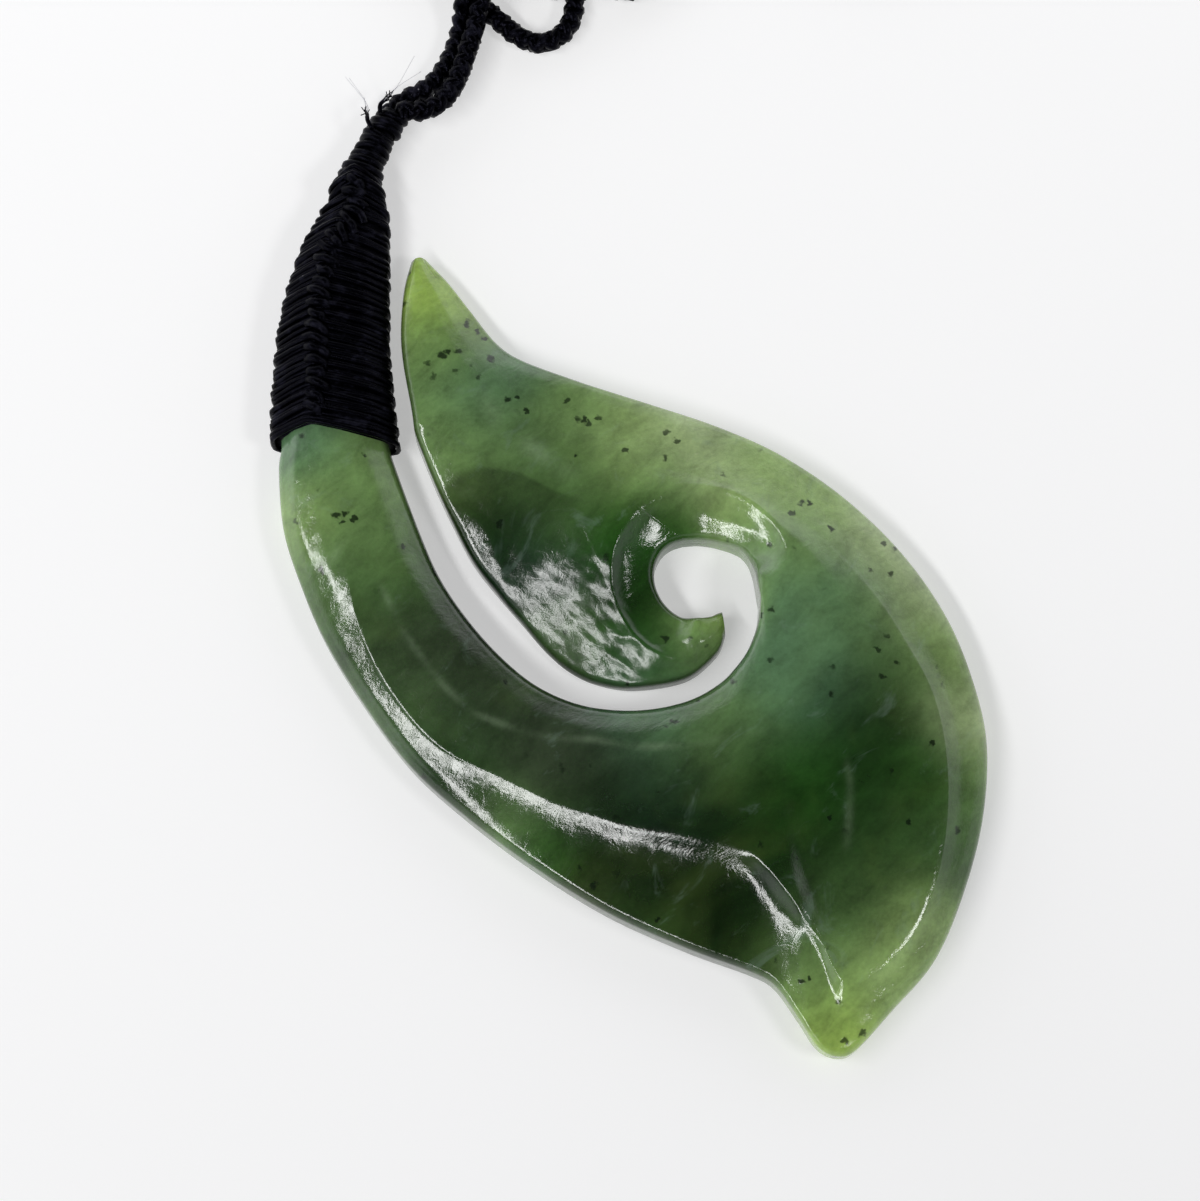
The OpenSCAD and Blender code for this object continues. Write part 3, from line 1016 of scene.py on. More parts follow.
@dataclass
class RopeMaker:
    """Geometry nodes that lay thread of one radius in mm along an object's edges."""

    radius: float
    sides: int
    material: Material

    def tree(self) -> bpy.types.GeometryNodeTree:
        """Builds the node group.

        Returns:
            The group, with radius, sides and material as named inputs.
        """
        group = bpy.data.node_groups.new("lay_thread", "GeometryNodeTree")
        for name, way, kind in (
            ("Geometry", "INPUT", "NodeSocketGeometry"),
            ("Thread Radius", "INPUT", "NodeSocketFloat"),
            ("Thread Sides", "INPUT", "NodeSocketInt"),
            ("Finish", "INPUT", "NodeSocketMaterial"),
            ("Geometry", "OUTPUT", "NodeSocketGeometry"),
        ):
            group.interface.new_socket(name, in_out=way, socket_type=kind)
        nodes = Tree(group.nodes, group.links)
        asked = group.nodes.new("NodeGroupInput")
        edges, radius, sides, finish = (Socket(nodes, o) for o in list(asked.outputs)[:4])
        line = nodes.node("GeometryNodeMeshToCurve", {}, {"Mesh": edges})
        circle = {"Resolution": sides, "Radius": radius}
        ring = nodes.node("GeometryNodeCurvePrimitiveCircle", {"mode": "RADIUS"}, circle)
        swept = {"Curve": line, "Profile Curve": ring, "Fill Caps": True}
        thread = nodes.node("GeometryNodeCurveToMesh", {}, swept)
        shaded = {"Geometry": thread, "Shade Smooth": True}
        soft = nodes.node("GeometryNodeSetShadeSmooth", {}, shaded)
        real = nodes.node("GeometryNodeRealizeInstances", {}, {"Geometry": soft})
        dressed = {"Geometry": real, "Material": finish}
        done = nodes.node("GeometryNodeSetMaterial", {}, dressed)
        end = group.nodes.new("NodeGroupOutput")
        nodes.join(done, end.inputs[0])
        return group

    def lay(self, name: str, runs: Sequence[Array]) -> Object:
        """Lays thread along the runs and returns it as a plain mesh object.

        Args:
            name: The object's name.
            runs: Paths in millimetres.

        Returns:
            The finished object.
        """
        source = path_object(name + "_path", runs)
        modifier = source.modifiers.new("lay_thread", "NODES")
        group = self.tree()
        modifier.node_group = group
        values = {
            "Thread Radius": self.radius * MM,
            "Thread Sides": self.sides,
            "Finish": self.material,
        }
        for item in group.interface.items_tree:
            if item.in_out == "INPUT" and item.name in values:
                modifier[item.identifier] = values[item.name]
        graph = bpy.context.evaluated_depsgraph_get()
        mesh = bpy.data.meshes.new_from_object(source.evaluated_get(graph), depsgraph=graph)
        mesh.name = name
        bpy.data.objects.remove(source)
        return linked(name, mesh)


def seat(piece: Object, node: Node | None) -> None:
    """Attaches a finished piece to the body that it rides on, and hides the imported part that it
    stands for.

    Args:
        piece: The piece.
        node: The node that it stands for, if there is one.
    """
    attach(piece, BODY)
    if node is not None:
        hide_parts(node.value)


# Stone hook


class Col(IntEnum):
    """Columns of a finished section that follow its three places."""

    OUTER = 6
    OUTER_BEVEL = 7
    OUTER_MID = 8
    CREST = 9
    INNER_MID = 10
    INNER_BEVEL = 11
    INNER = 12
    LIP = 13
    CUT = 14


OUTER_AT = slice(0, 2)
INNER_AT = slice(2, 4)
CREST_AT = slice(4, 6)


@dataclass(frozen=True)
class Half:
    """Half of a section, from one edge up to the crest that it shares with the other half.

    Attributes:
        section: The whole section.
        inner: Whether this is its inner half.
        owner: Number of its crest.
        wide: Whether it has the wide bevel of the slot and the hole.
    """

    section: Array
    inner: bool
    owner: int
    wide: bool


@dataclass
class Band:
    """One band of sections of the stone, with their outer, inner and crest places in rows.

    Attributes:
        rows: The three places of each section.
        heights: Its heights, by row.
        lifted_rows: First row whose back lies on the table.
        lift: How far the back is cut away before that row, in mm.
    """

    rows: Array
    heights: tuple[Heights, ...]
    lifted_rows: int = 0
    lift: float = 0.95

    def at(self, row: float) -> Array:
        """Works out one section.

        Args:
            row: Row number, whole or between.

        Returns:
            Its three places, its eight heights and how far its back is cut away.
        """
        keys = np.array([astuple(h) for h in self.heights])
        tall = [np.interp(row, keys[:, 0], column) for column in keys[:, 1:].T]
        cut = self.lift * float(np.clip(self.lifted_rows - row, 0, 1))
        return np.concatenate([curve(self.rows, row), tall, [cut]])

    def refined(self, steps: int) -> Array:
        """Returns all sections, with that many steps from each row to the next."""
        count = (len(self.rows) - 1) * steps
        return np.array([self.at(i / steps) for i in range(count + 1)])


@dataclass
class StoneHook:
    """The carved hook as one closed mesh with relief and painted colours, with lengths in mm.

    Attributes:
        steps: Sections from row to row of the trunk, the blade and the lobe.
        edge_steps: Points across the rounded edge.
        top_steps: Points from there to the crest.
        foot_steps: Points up the wall's rounded foot.
        edge_r: Radius of the rounded edge.
        foot_r: Radius of the wall's rounded foot.
        wall_shares: Heights of the points on the upright part of the wall.
        bevel: Width of the bevel along the outline.
        inner_bevel: Width of the bevel along the slot and the hole.
        bevel_share: Largest share of a side that its bevel takes up.
        lip_outer: Reach of the crest's lip down its outer side.
        lip_inner: Reach of the crest's lip down its inner side.
        smoothing: Rounds of smoothing before the carving.
        last_smoothing: Rounds after it.
        shaded_rim_width: Width of the rim of painted shade along the slot and the hole, whose
            walls are shaded too.
        rim_painted_shade: Share of the colour that this painted shade takes away.
        lit_fade: Distance above the hole's middle over which the painted shade gives way, where
            the hole's wall is lit.
        lit_reach: How far from the hole's middle the wall is left without the painted shade.
        pale_line_level: Share of the pale lines that shows on average.
        fading: How the pale lines come and go.
    """

    finish: Nephrite
    facet: Facet
    hewing: Hewing
    hollow: Hollow
    notches: tuple[Notch, ...]
    pale_lines: tuple[PaleLine, ...]
    patches: tuple[Patch, ...]
    steps: tuple[int, int, int] = (12, 16, 14)
    edge_steps: int = 8
    top_steps: int = 38
    foot_steps: int = 5
    edge_r: float = 0.7
    foot_r: float = 0.6
    wall_shares: tuple[float, ...] = (0.35, 0.7)
    bevel: float = 1.4
    inner_bevel: float = 2.8
    bevel_share: float = 0.4
    lip_outer: float = 1.5
    lip_inner: float = 4.5
    smoothing: int = 22
    last_smoothing: int = 3
    shaded_rim_width: float = 0.42
    rim_painted_shade: float = 0.62
    lit_fade: float = 2.5
    lit_reach: float = 6.5
    pale_line_level: float = 0.6
    fading: Wave = Wave(0.5, 5.0, 8)
    slot_sections: Array = field(init=False)
    hewn: Array = field(init=False)
    rim: Array = field(init=False)
    shank: Band = field(init=False)

    def __post_init__(self) -> None:
        """Works out the sections of the shank and the bowl, which the slot follows."""
        rows = []
        for r in SHANK:
            mid = share_at(r.x, r.y)
            half = np.array([SHANK_W * r.width / 2, 0])
            rows.append(self.section(mid - half, mid + half, r.crest))
        for r in BOWL:
            outer, inner = share_at(r.outer_x, r.outer_y), share_at(r.inner_x, r.inner_y)
            rows.append(self.section(outer, inner, r.crest))
        self.slot_sections = np.array(rows)
        self.shank = Band(self.slot_sections, TRUNK_HEIGHTS, BOUND_ROWS)

    @staticmethod
    def section(outer: Array, inner: Array, crest: float) -> Array:
        """Returns the six places of one section."""
        return np.concatenate([outer, inner, outer + (inner - outer) * crest])

    def across_slot(self, row: float, gap: float) -> Array:
        """Works out a place across the slot.

        Args:
            row: Row of the shank and bowl that it is opposite to.
            gap: Distance from there, in widths of the slot.

        Returns:
            The place in mm.
        """
        here = curve(self.slot_sections, row)[INNER_AT]
        ahead = curve(self.slot_sections, row + 0.1)[INNER_AT]
        run = (ahead - here) / np.linalg.norm(ahead - here)
        return here + SLOT_W * gap * np.array([-run[1], run[0]])

    def bands(self) -> list[Array]:
        """Works out the three bands that the stone is made of.

        Returns:
            The refined sections of the trunk, the blade and the lobe.
        """
        shoulder = [
            self.section(share_at(r.outer_x, r.outer_y), on_hole(r.angle, r.radius), r.crest)
            for r in SHOULDER
        ]
        trunk = np.vstack([self.slot_sections, shoulder])
        mid = share_at(*ROOT_CREST)
        side = self.across_slot(*ROOT_EDGE)
        upper, hole = trunk[-1, OUTER_AT].copy(), trunk[-1, INNER_AT].copy()
        trunk[-1] = np.concatenate([upper, hole, mid])
        blade = [np.concatenate([upper, side, mid])]
        for r in BLADE:
            inner = self.across_slot(r.slot_row, r.gap)
            blade.append(self.section(share_at(r.outer_x, r.outer_y), inner, r.crest))
        lobe = [np.concatenate([side, hole, mid])]
        for r in LOBE:
            outer = self.across_slot(r.slot_row, r.gap)
            lobe.append(self.section(outer, on_hole(r.angle, r.radius), r.crest))
        bands = (
            Band(trunk, TRUNK_HEIGHTS, BOUND_ROWS),
            Band(np.array(blade), BLADE_HEIGHTS),
            Band(np.array(lobe), LOBE_HEIGHTS),
        )
        made = [band.refined(steps) for band, steps in zip(bands, self.steps)]
        for band, end, beside in ((made[0], 0, 1), (made[1], -1, -2), (made[2], -1, -2)):
            band[end, CREST_AT] = (band[end, CREST_AT] + band[beside, CREST_AT]) / 2
        return made

    @staticmethod
    def halves(trunk: Array, blade: Array, lobe: Array) -> list[Half]:
        """Lists the halves of all sections in order round the outline.

        The blade and the lobe start at the trunk's last crest, so they have none of their own
        there.

        Args:
            trunk: The trunk's sections.
            blade: The blade's sections.
            lobe: The lobe's sections.

        Returns:
            The halves.
        """
        root = len(trunk) - 1
        lobe_root = root + len(blade) - 1
        tongue = [(s, root + i) for i, s in enumerate(blade)][1:]
        curl = [(s, lobe_root + i) for i, s in enumerate(lobe)][1:]
        made = [Half(s, False, i, False) for i, s in enumerate(trunk)]
        made += [Half(s, False, owner, False) for s, owner in tongue]
        made += [Half(s, True, owner, True) for s, owner in reversed(tongue)]
        made += [Half(lobe[0], False, root, True)]
        made += [Half(s, False, owner, True) for s, owner in curl]
        made += [Half(s, True, owner, True) for s, owner in reversed(curl)]
        made += [Half(s, True, i, True) for i, s in reversed(list(enumerate(trunk)))]
        return made

    def top_of(self, half: Half) -> tuple[Array, Array]:
        """Works out the top of half a section.

        Args:
            half: The half.

        Returns:
            Points from the edge to just before the crest, each with its distance from the
            edge, and the edge's inward direction.
        """
        s = half.section
        edge, crest = s[INNER_AT if half.inner else OUTER_AT], s[CREST_AT]
        span = float(np.linalg.norm(crest - edge))
        into = (crest - edge) / span
        most = span * self.bevel_share
        width = min(self.inner_bevel if half.wide else self.bevel, most)
        order = [Col.OUTER, Col.OUTER_BEVEL, Col.OUTER_MID, Col.CREST]
        if half.inner:
            order = [Col.INNER, Col.INNER_BEVEL, Col.INNER_MID, Col.CREST]
        turn = np.linspace(0, math.pi / 2, self.edge_steps)
        start = min(self.edge_r, most) * (1 - np.cos(turn))
        rest = np.linspace(start[-1], span, self.top_steps + 1)[1:-1]
        inset = np.concatenate([start, rest])
        height = np.interp(inset, (0.0, width, (width + span) / 2, span), s[order])
        lip_reach = self.lip_inner if half.inner else self.lip_outer
        height += s[Col.LIP] * np.exp((inset - span) / lip_reach)
        return np.column_stack([edge + inset[:, None] * into, height, inset]), into

    def shape(self) -> tuple[Array, list[list[int]]]:
        """Builds the closed surface, and notes where it is hewn and where its rims of painted
        shade are.

        Returns:
            Points in mm, and faces.
        """
        trunk, blade, lobe = self.bands()
        halves = self.halves(trunk, blade, lobe)
        stations = np.vstack([trunk, blade[1:], lobe[1:]])
        owner = np.array([h.owner for h in halves])
        made, ways = zip(*[self.top_of(h) for h in halves])
        tops = np.array(made)
        crests = np.column_stack([stations[:, CREST_AT], stations[:, Col.CREST]])
        crests[:, 2] += stations[:, Col.LIP]
        hewn = self.set_heights(tops, crests, owner, len(trunk) + len(blade) - 1)
        walls = self.walls(tops, np.array(ways), stations[owner, Col.CUT])
        backs = np.column_stack([crests[:, :2], stations[:, Col.CUT]])
        wide = np.array([h.wide for h in halves], float)
        # Rim of painted shade along the slot and the hole, full on their walls.
        rim = np.exp(-((tops[:, :, 3] / self.shaded_rim_width) ** 2)) * wide[:, None]
        steps = walls.shape[1]
        plain = np.zeros(len(crests))
        on_tops, on_crests = hewn
        self.hewn = np.concatenate([on_tops, np.zeros(len(halves) * steps), on_crests, plain])
        self.rim = np.concatenate([rim.reshape(-1), np.repeat(wide, steps), plain, plain])
        points = [tops[:, :, :3].reshape(-1, 3), walls.reshape(-1, 3), crests, backs]
        return np.vstack(points), self.stitch(owner, tops.shape[1], steps, len(crests))

    def set_heights(
        self, tops: Array, crests: Array, owner: Array, first_lobe: int
    ) -> tuple[Array, Array]:
        """Smooths, carves and rounds the heights of the top, in place.

        Args:
            tops: Points of each half from its edge on, each with its distance from the edge.
            crests: Points of the crests.
            owner: Number of each half's crest.
            first_lobe: Number of the lobe's first crest.

        Returns:
            How far the tops' points and the crests lie in the rough facet, from 0 to 1.
        """
        count, per = tops.shape[:2]
        n = count * per
        top_z, crest_z = self.relax(tops[:, :, 2], crests[:, 2], owner, self.smoothing)
        flat = np.vstack([tops[:, :, :2].reshape(-1, 2), crests[:, :2]])
        numbers = np.concatenate([np.repeat(owner, per), np.arange(len(crests))])
        joint = np.concatenate([top_z.reshape(-1), crest_z])
        carved, hewn = self.carve(flat, joint, numbers >= first_lobe)
        top_z, crest_z = self.relax(
            carved[:n].reshape(count, per), carved[n:], owner, self.last_smoothing
        )
        past = np.clip(1 - tops[:, :, 3] / self.edge_r, 0, 1)
        tops[:, :, 2] = top_z - self.edge_r * (1 - np.sqrt(1 - past**2))
        crests[:, 2] = crest_z
        return hewn[:n], hewn[n:]

    def walls(self, tops: Array, ways: Array, cut: Array) -> Array:
        """Builds the walls, from their rounded foot up to the edge.

        Args:
            tops: Points of each half, with its edge first.
            ways: Inward direction at each edge.
            cut: How far the back is cut away at each edge.

        Returns:
            The points, in one row per edge.
        """
        edge, high = tops[:, 0, :2], tops[:, 0, 2]
        steps = []
        for turn in np.linspace(0, math.pi / 2, self.foot_steps):
            shift = self.foot_r * (1 - math.sin(turn))
            level = self.foot_r * (1 - math.cos(turn)) + cut
            steps.append(np.column_stack([edge + ways * shift, level]))
        low = self.foot_r + cut
        for share in self.wall_shares:
            steps.append(np.column_stack([edge, low + (high - low) * share]))
        return np.stack(steps, 1)

    @staticmethod
    def stitch(owner: Array, per: int, steps: int, crests: int) -> list[list[int]]:
        """Joins the points of the top, the walls, the crests and the back into faces.

        Args:
            owner: Number of each half's crest.
            per: Points on the top of each half.
            steps: Points on each wall.
            crests: How many crests there are.

        Returns:
            The faces.
        """
        first_wall = len(owner) * per
        first_crest = first_wall + len(owner) * steps
        first_back = first_crest + crests
        columns = []
        for h, crest in enumerate(owner.tolist()):
            wall = range(first_wall + h * steps, first_wall + (h + 1) * steps)
            top = range(h * per, (h + 1) * per)
            columns.append([first_back + crest, *wall, *top, first_crest + crest])
        faces = []
        for here, ahead in zip(columns, columns[1:] + columns[:1]):
            for k in range(len(here) - 1):
                ring = [here[k], ahead[k], ahead[k + 1], here[k + 1]]
                kept = [v for i, v in enumerate(ring) if v != ring[i - 1]]
                if len(kept) > 2:
                    faces.append(kept)
        return faces

    @staticmethod
    def relax(
        top_z: Array, crest_z: Array, owner: Array, rounds: int
    ) -> tuple[Array, Array]:
        """Smooths the heights so that facets meet in soft ridges.

        Args:
            top_z: Heights of each half from its edge on. The edge keeps its height.
            crest_z: Heights of the crests.
            owner: Number of each half's crest.
            rounds: How often the heights are smoothed.

        Returns:
            The new heights of the tops and of the crests.
        """
        z, cz = top_z.copy(), crest_z.copy()
        fixed = z[:, 0].copy()
        for _ in range(rounds):
            before, after = np.roll(z, 1, 0), np.roll(z, -1, 0)
            out = np.column_stack([z[:, :1], z[:, :-1]])
            inward = np.column_stack([z[:, 1:], cz[owner]])
            total = np.zeros_like(cz)
            number = np.zeros_like(cz)
            np.add.at(total, owner, z[:, -1])
            np.add.at(number, owner, 1)
            cz = 0.5 * cz + 0.5 * total / number
            z = 0.5 * z + 0.125 * (before + after + out + inward)
            z[:, 0] = fixed
        return z, cz

    def carve(
        self, flat: Array, height: Array, on_lobe: Array
    ) -> tuple[Array, Array]:
        """Cuts the lobe's facet, the hollow round the hole and the notches into the top.

        Args:
            flat: Places of the points in mm.
            height: Their heights.
            on_lobe: Which of them are on the lobe.

        Returns:
            The new heights, and how far each point lies in the rough facet, from 0 to 1.
        """
        facet, marks = self.facet, self.hewing
        turn = math.radians(facet.azimuth)
        down = (flat[:, 0] - facet.x) * math.cos(turn) + (flat[:, 1] - facet.y) * math.sin(turn)
        plane = facet.height - facet.slope * down - facet.bend * np.clip(down, 0, None) ** 2
        gap = height - plane
        cut = np.where(on_lobe, facet.soft * np.logaddexp(0, gap / facet.soft), 0.0)
        height = height - cut + self.scoop(flat)
        for notch in self.notches:
            away, side, inner = distance_to(flat, notch.border)
            into = np.where((side > 0) == notch.left, away, 0.0)
            depth = notch.depth * (1 - np.exp(-into / notch.steep))
            depth *= np.exp(-((into / notch.reach) ** 2)) * eased(inner / notch.fade)
            height = height - depth
        ring = share_at(*HOLE_AT) + np.array(marks.round_ring)
        clear = eased(np.linalg.norm(flat - ring, axis=1) - marks.ring_reach)
        near_point = eased((marks.point_y - flat[:, 1]) / marks.point_fade)
        hewn = np.maximum(eased(gap / marks.border + marks.early) * clear, near_point)
        hewn = np.where(on_lobe, hewn, 0.0)
        chips = marks.chips.depth * (0.5 - np.abs(ripple(flat, marks.chips)))
        rough = chips + marks.fine.depth * ripple(flat, marks.fine)
        height = height + hewn * (rough + marks.swell.depth * ripple(flat, marks.swell))
        return height + marks.polish.depth * ripple(flat, marks.polish), hewn

    def scoop(self, flat: Array) -> Array:
        """Works out the hollow round the hole.

        Args:
            flat: Places of the points in mm.

        Returns:
            The change in height at each point.
        """
        h = self.hollow
        to = flat - share_at(*HOLE_AT)
        far = np.linalg.norm(to, axis=1)
        angle = np.degrees(np.arctan2(to[:, 1], to[:, 0])) % 360
        opening = np.clip((angle - h.start + h.fade / 2) / h.fade, 0, 1)
        closing = np.clip((h.end + h.fade / 2 - angle) / h.fade, 0, 1)
        inside = np.clip(h.rim - far, 0, None)
        return -h.depth * eased(opening * closing) * (1 - np.exp(-inside / h.steep))

    def paint(self, mesh: bpy.types.Mesh, points: Array) -> None:
        """Writes the stone's large colours, with their painted shade, glow and reflection, and
        where it is hewn, onto the mesh.

        Args:
            mesh: The stone's mesh.
            points: Its points in mm.
        """
        # The patches' colours, which include painted shade and painted glow.
        centres = np.array([share_at(p.u, p.v) for p in self.patches])
        reach = np.array([p.reach for p in self.patches])
        shades = np.array([linear(p.green.value)[:3] for p in self.patches])
        away = np.linalg.norm(points[:, None, :2] - centres[None], axis=2)
        weight = np.exp(-((away / reach) ** 2)) + 1e-4 / (1 + away**2)
        colour = weight @ shades / weight.sum(1)[:, None]
        # Painted shade on the cut side beside each notch's border.
        for notch in self.notches:
            far, side, inner = distance_to(points[:, :2], notch.border)
            cut_side = (side > 0) == notch.left
            dark = notch.shade * eased(far / notch.painted_shade_start) * np.exp(-far / notch.painted_shade_reach)
            dark *= eased(inner / notch.fade)
            colour = colour * np.where(cut_side, 1 - dark, 1.0)[:, None]
        # Painted shade along the slot, the hole and their walls, left off where the hole's north
        # wall is lit.
        to = points[:, :2] - share_at(*HOLE_AT)
        lit = eased(to[:, 1] / self.lit_fade) * eased(self.lit_reach - np.linalg.norm(to, axis=1))
        colour = colour * (1 - self.rim_painted_shade * self.rim * (1 - lit))[:, None]
        # Pale lines; the first stands for a painted reflection along the crease of the slot-side
        # bevel.
        for pale_line in self.pale_lines:
            far, _, inner = distance_to(points[:, :2], pale_line.line)
            wander = self.pale_line_level + self.fading.depth * ripple(points[:, :2], self.fading)
            share = pale_line.strength * np.exp(-((far / pale_line.width) ** 2)) * eased(inner / pale_line.fade)
            share = np.clip(share * wander, 0, 1)[:, None]
            colour = colour * (1 - share) + np.array(linear(pale_line.colour)[:3]) * share
        values = np.column_stack([colour, np.ones(len(colour))]).astype(np.float32)
        layer = mesh.attributes.new(self.finish.tint, "FLOAT_COLOR", "POINT")
        layer.data.foreach_set("color", values.reshape(-1))
        layer = mesh.attributes.new(self.finish.hewn, "FLOAT", "POINT")
        layer.data.foreach_set("value", self.hewn.astype(np.float32))

    def build(self) -> Object:
        """Builds, paints and seats the stone.

        Returns:
            The finished piece.
        """
        points, faces = self.shape()
        made = mesh_object("carved_stone_hook", points, faces)
        self.paint(made.data, points)
        made.data.materials.append(self.finish.build())
        seat(made, Node.STONE)
        return made


def distance_to(
    flat: Array, line: Sequence[Pair]
) -> tuple[Array, Array, Array]:
    """Measures points against a line.

    Args:
        flat: Points in mm.
        line: The line's stops in shares of the stone's size.

    Returns:
        Distances in mm, numbers above 0 on the line's left side, and how far in mm the
        nearest place on the line is from the line's nearer end.
    """
    stops = np.array([share_at(u, v) for u, v in line])
    before = travelled(stops)
    best = np.full(len(flat), np.inf)
    side = np.zeros(len(flat))
    place = np.zeros(len(flat))
    for a, b, length, start in zip(stops[:-1], stops[1:], steps_of(stops), before):
        run = b - a
        t = np.clip(((flat - a) @ run) / (run @ run), 0, 1)
        away = np.linalg.norm(flat - (a + t[:, None] * run), axis=1)
        cross = run[0] * (flat[:, 1] - a[1]) - run[1] * (flat[:, 0] - a[0])
        closer = away < best
        best = np.where(closer, away, best)
        side = np.where(closer, cross, side)
        place = np.where(closer, start + t * length, place)
    return best, side, np.minimum(place, before[-1] - place)


def eased(x: Array) -> Array:
    """Returns a smooth rise from 0 at 0 to 1 at 1."""
    held = np.clip(x, 0, 1)
    return held * held * (3 - 2 * held)


# Thread and cord


@dataclass(frozen=True)
class Ring:
    """A closed outline round the shank or the neck, from the middle of its back."""

    points: Array

    def at(self, share: float) -> Array:
        """Works out one place on the outline.

        Args:
            share: Share of the way round, which may be above 1.

        Returns:
            The place in mm.
        """
        n = len(self.points)
        place = (share % 1.0) * n
        i = int(place)
        f = place - i
        return self.points[i % n] * (1 - f) + self.points[(i + 1) % n] * f

    def scaled(self, share: float) -> Array:
        """Returns the outline's points drawn in towards its middle."""
        mid = self.points.mean(0)
        return mid + (self.points - mid) * share

    def top_at(self, x: float) -> float:
        """Returns the height of the outline's upper side at x."""
        upper = self.points[len(self.points) // 4 : 3 * len(self.points) // 4]
        order = np.argsort(upper[:, 0])
        return float(np.interp(x, upper[order, 0], upper[order, 2]))


def even_ring(outline: Array, count: int = 96) -> Array:
    """Spreads points evenly round a closed outline."""
    closed = np.vstack([outline, outline[:1]])
    return picked(closed, np.arange(count) / count * travelled(closed)[-1])


def even_path(stops: Array, spacing: float) -> Array:
    """Runs a smooth path through stops and spreads points evenly along it.

    Args:
        stops: Stops in mm.
        spacing: Distance between the points in mm.

    Returns:
        The points.
    """
    fine = []
    last = len(stops) - 1
    shares = np.linspace(0, 1, 24, endpoint=False)
    for i in range(last):
        a, b = stops[max(i - 1, 0)], stops[i]
        c, d = stops[i + 1], stops[min(i + 2, last)]
        k1, k2, k3 = (max(np.linalg.norm(q - p) ** 0.5, 1e-3) for p, q in ((a, b), (b, c), (c, d)))
        start = end = c - b
        if i > 0:
            start = k2 * ((b - a) / k1 - (c - a) / (k1 + k2) + (c - b) / k2)
        if i < last - 1:
            end = k2 * ((c - b) / k2 - (d - b) / (k2 + k3) + (d - c) / k3)
        for f in shares:
            leave = (2 * f**3 - 3 * f**2 + 1) * b + (f**3 - 2 * f**2 + f) * start
            fine.append(leave + (3 * f**2 - 2 * f**3) * c + (f**3 - f**2) * end)
    fine.append(stops[-1])
    line = np.array(fine)
    length = travelled(line)[-1]
    return picked(line, np.linspace(0, length, max(2, round(length / spacing) + 1)))


def frames_along(path: Array) -> tuple[Array, Array]:
    """Carries a side and an up direction along a path without twisting them.

    Args:
        path: Points in mm.

    Returns:
        Side directions and up directions.
    """
    run = unit(np.gradient(path, axis=0))
    side = np.zeros_like(path)
    start = np.cross([0, 0, 1.0], run[0])
    side[0] = start / np.linalg.norm(start)
    for i in range(1, len(path)):
        kept = side[i - 1] - run[i] * (side[i - 1] @ run[i])
        side[i] = kept / np.linalg.norm(kept)
    return side, np.cross(run, side)


UPWARD = np.array([0.0, 1.0])
RING_STEP = 3.0


@dataclass(frozen=True)
class NeckRow:
    """One row of the neck: shift across in shares of the stone, rise, width and thickness.

    The rise is a share of the neck's length, and the width and thickness are shares of its own.
    """

    shift: float
    rise: float
    wide: float
    tall: float


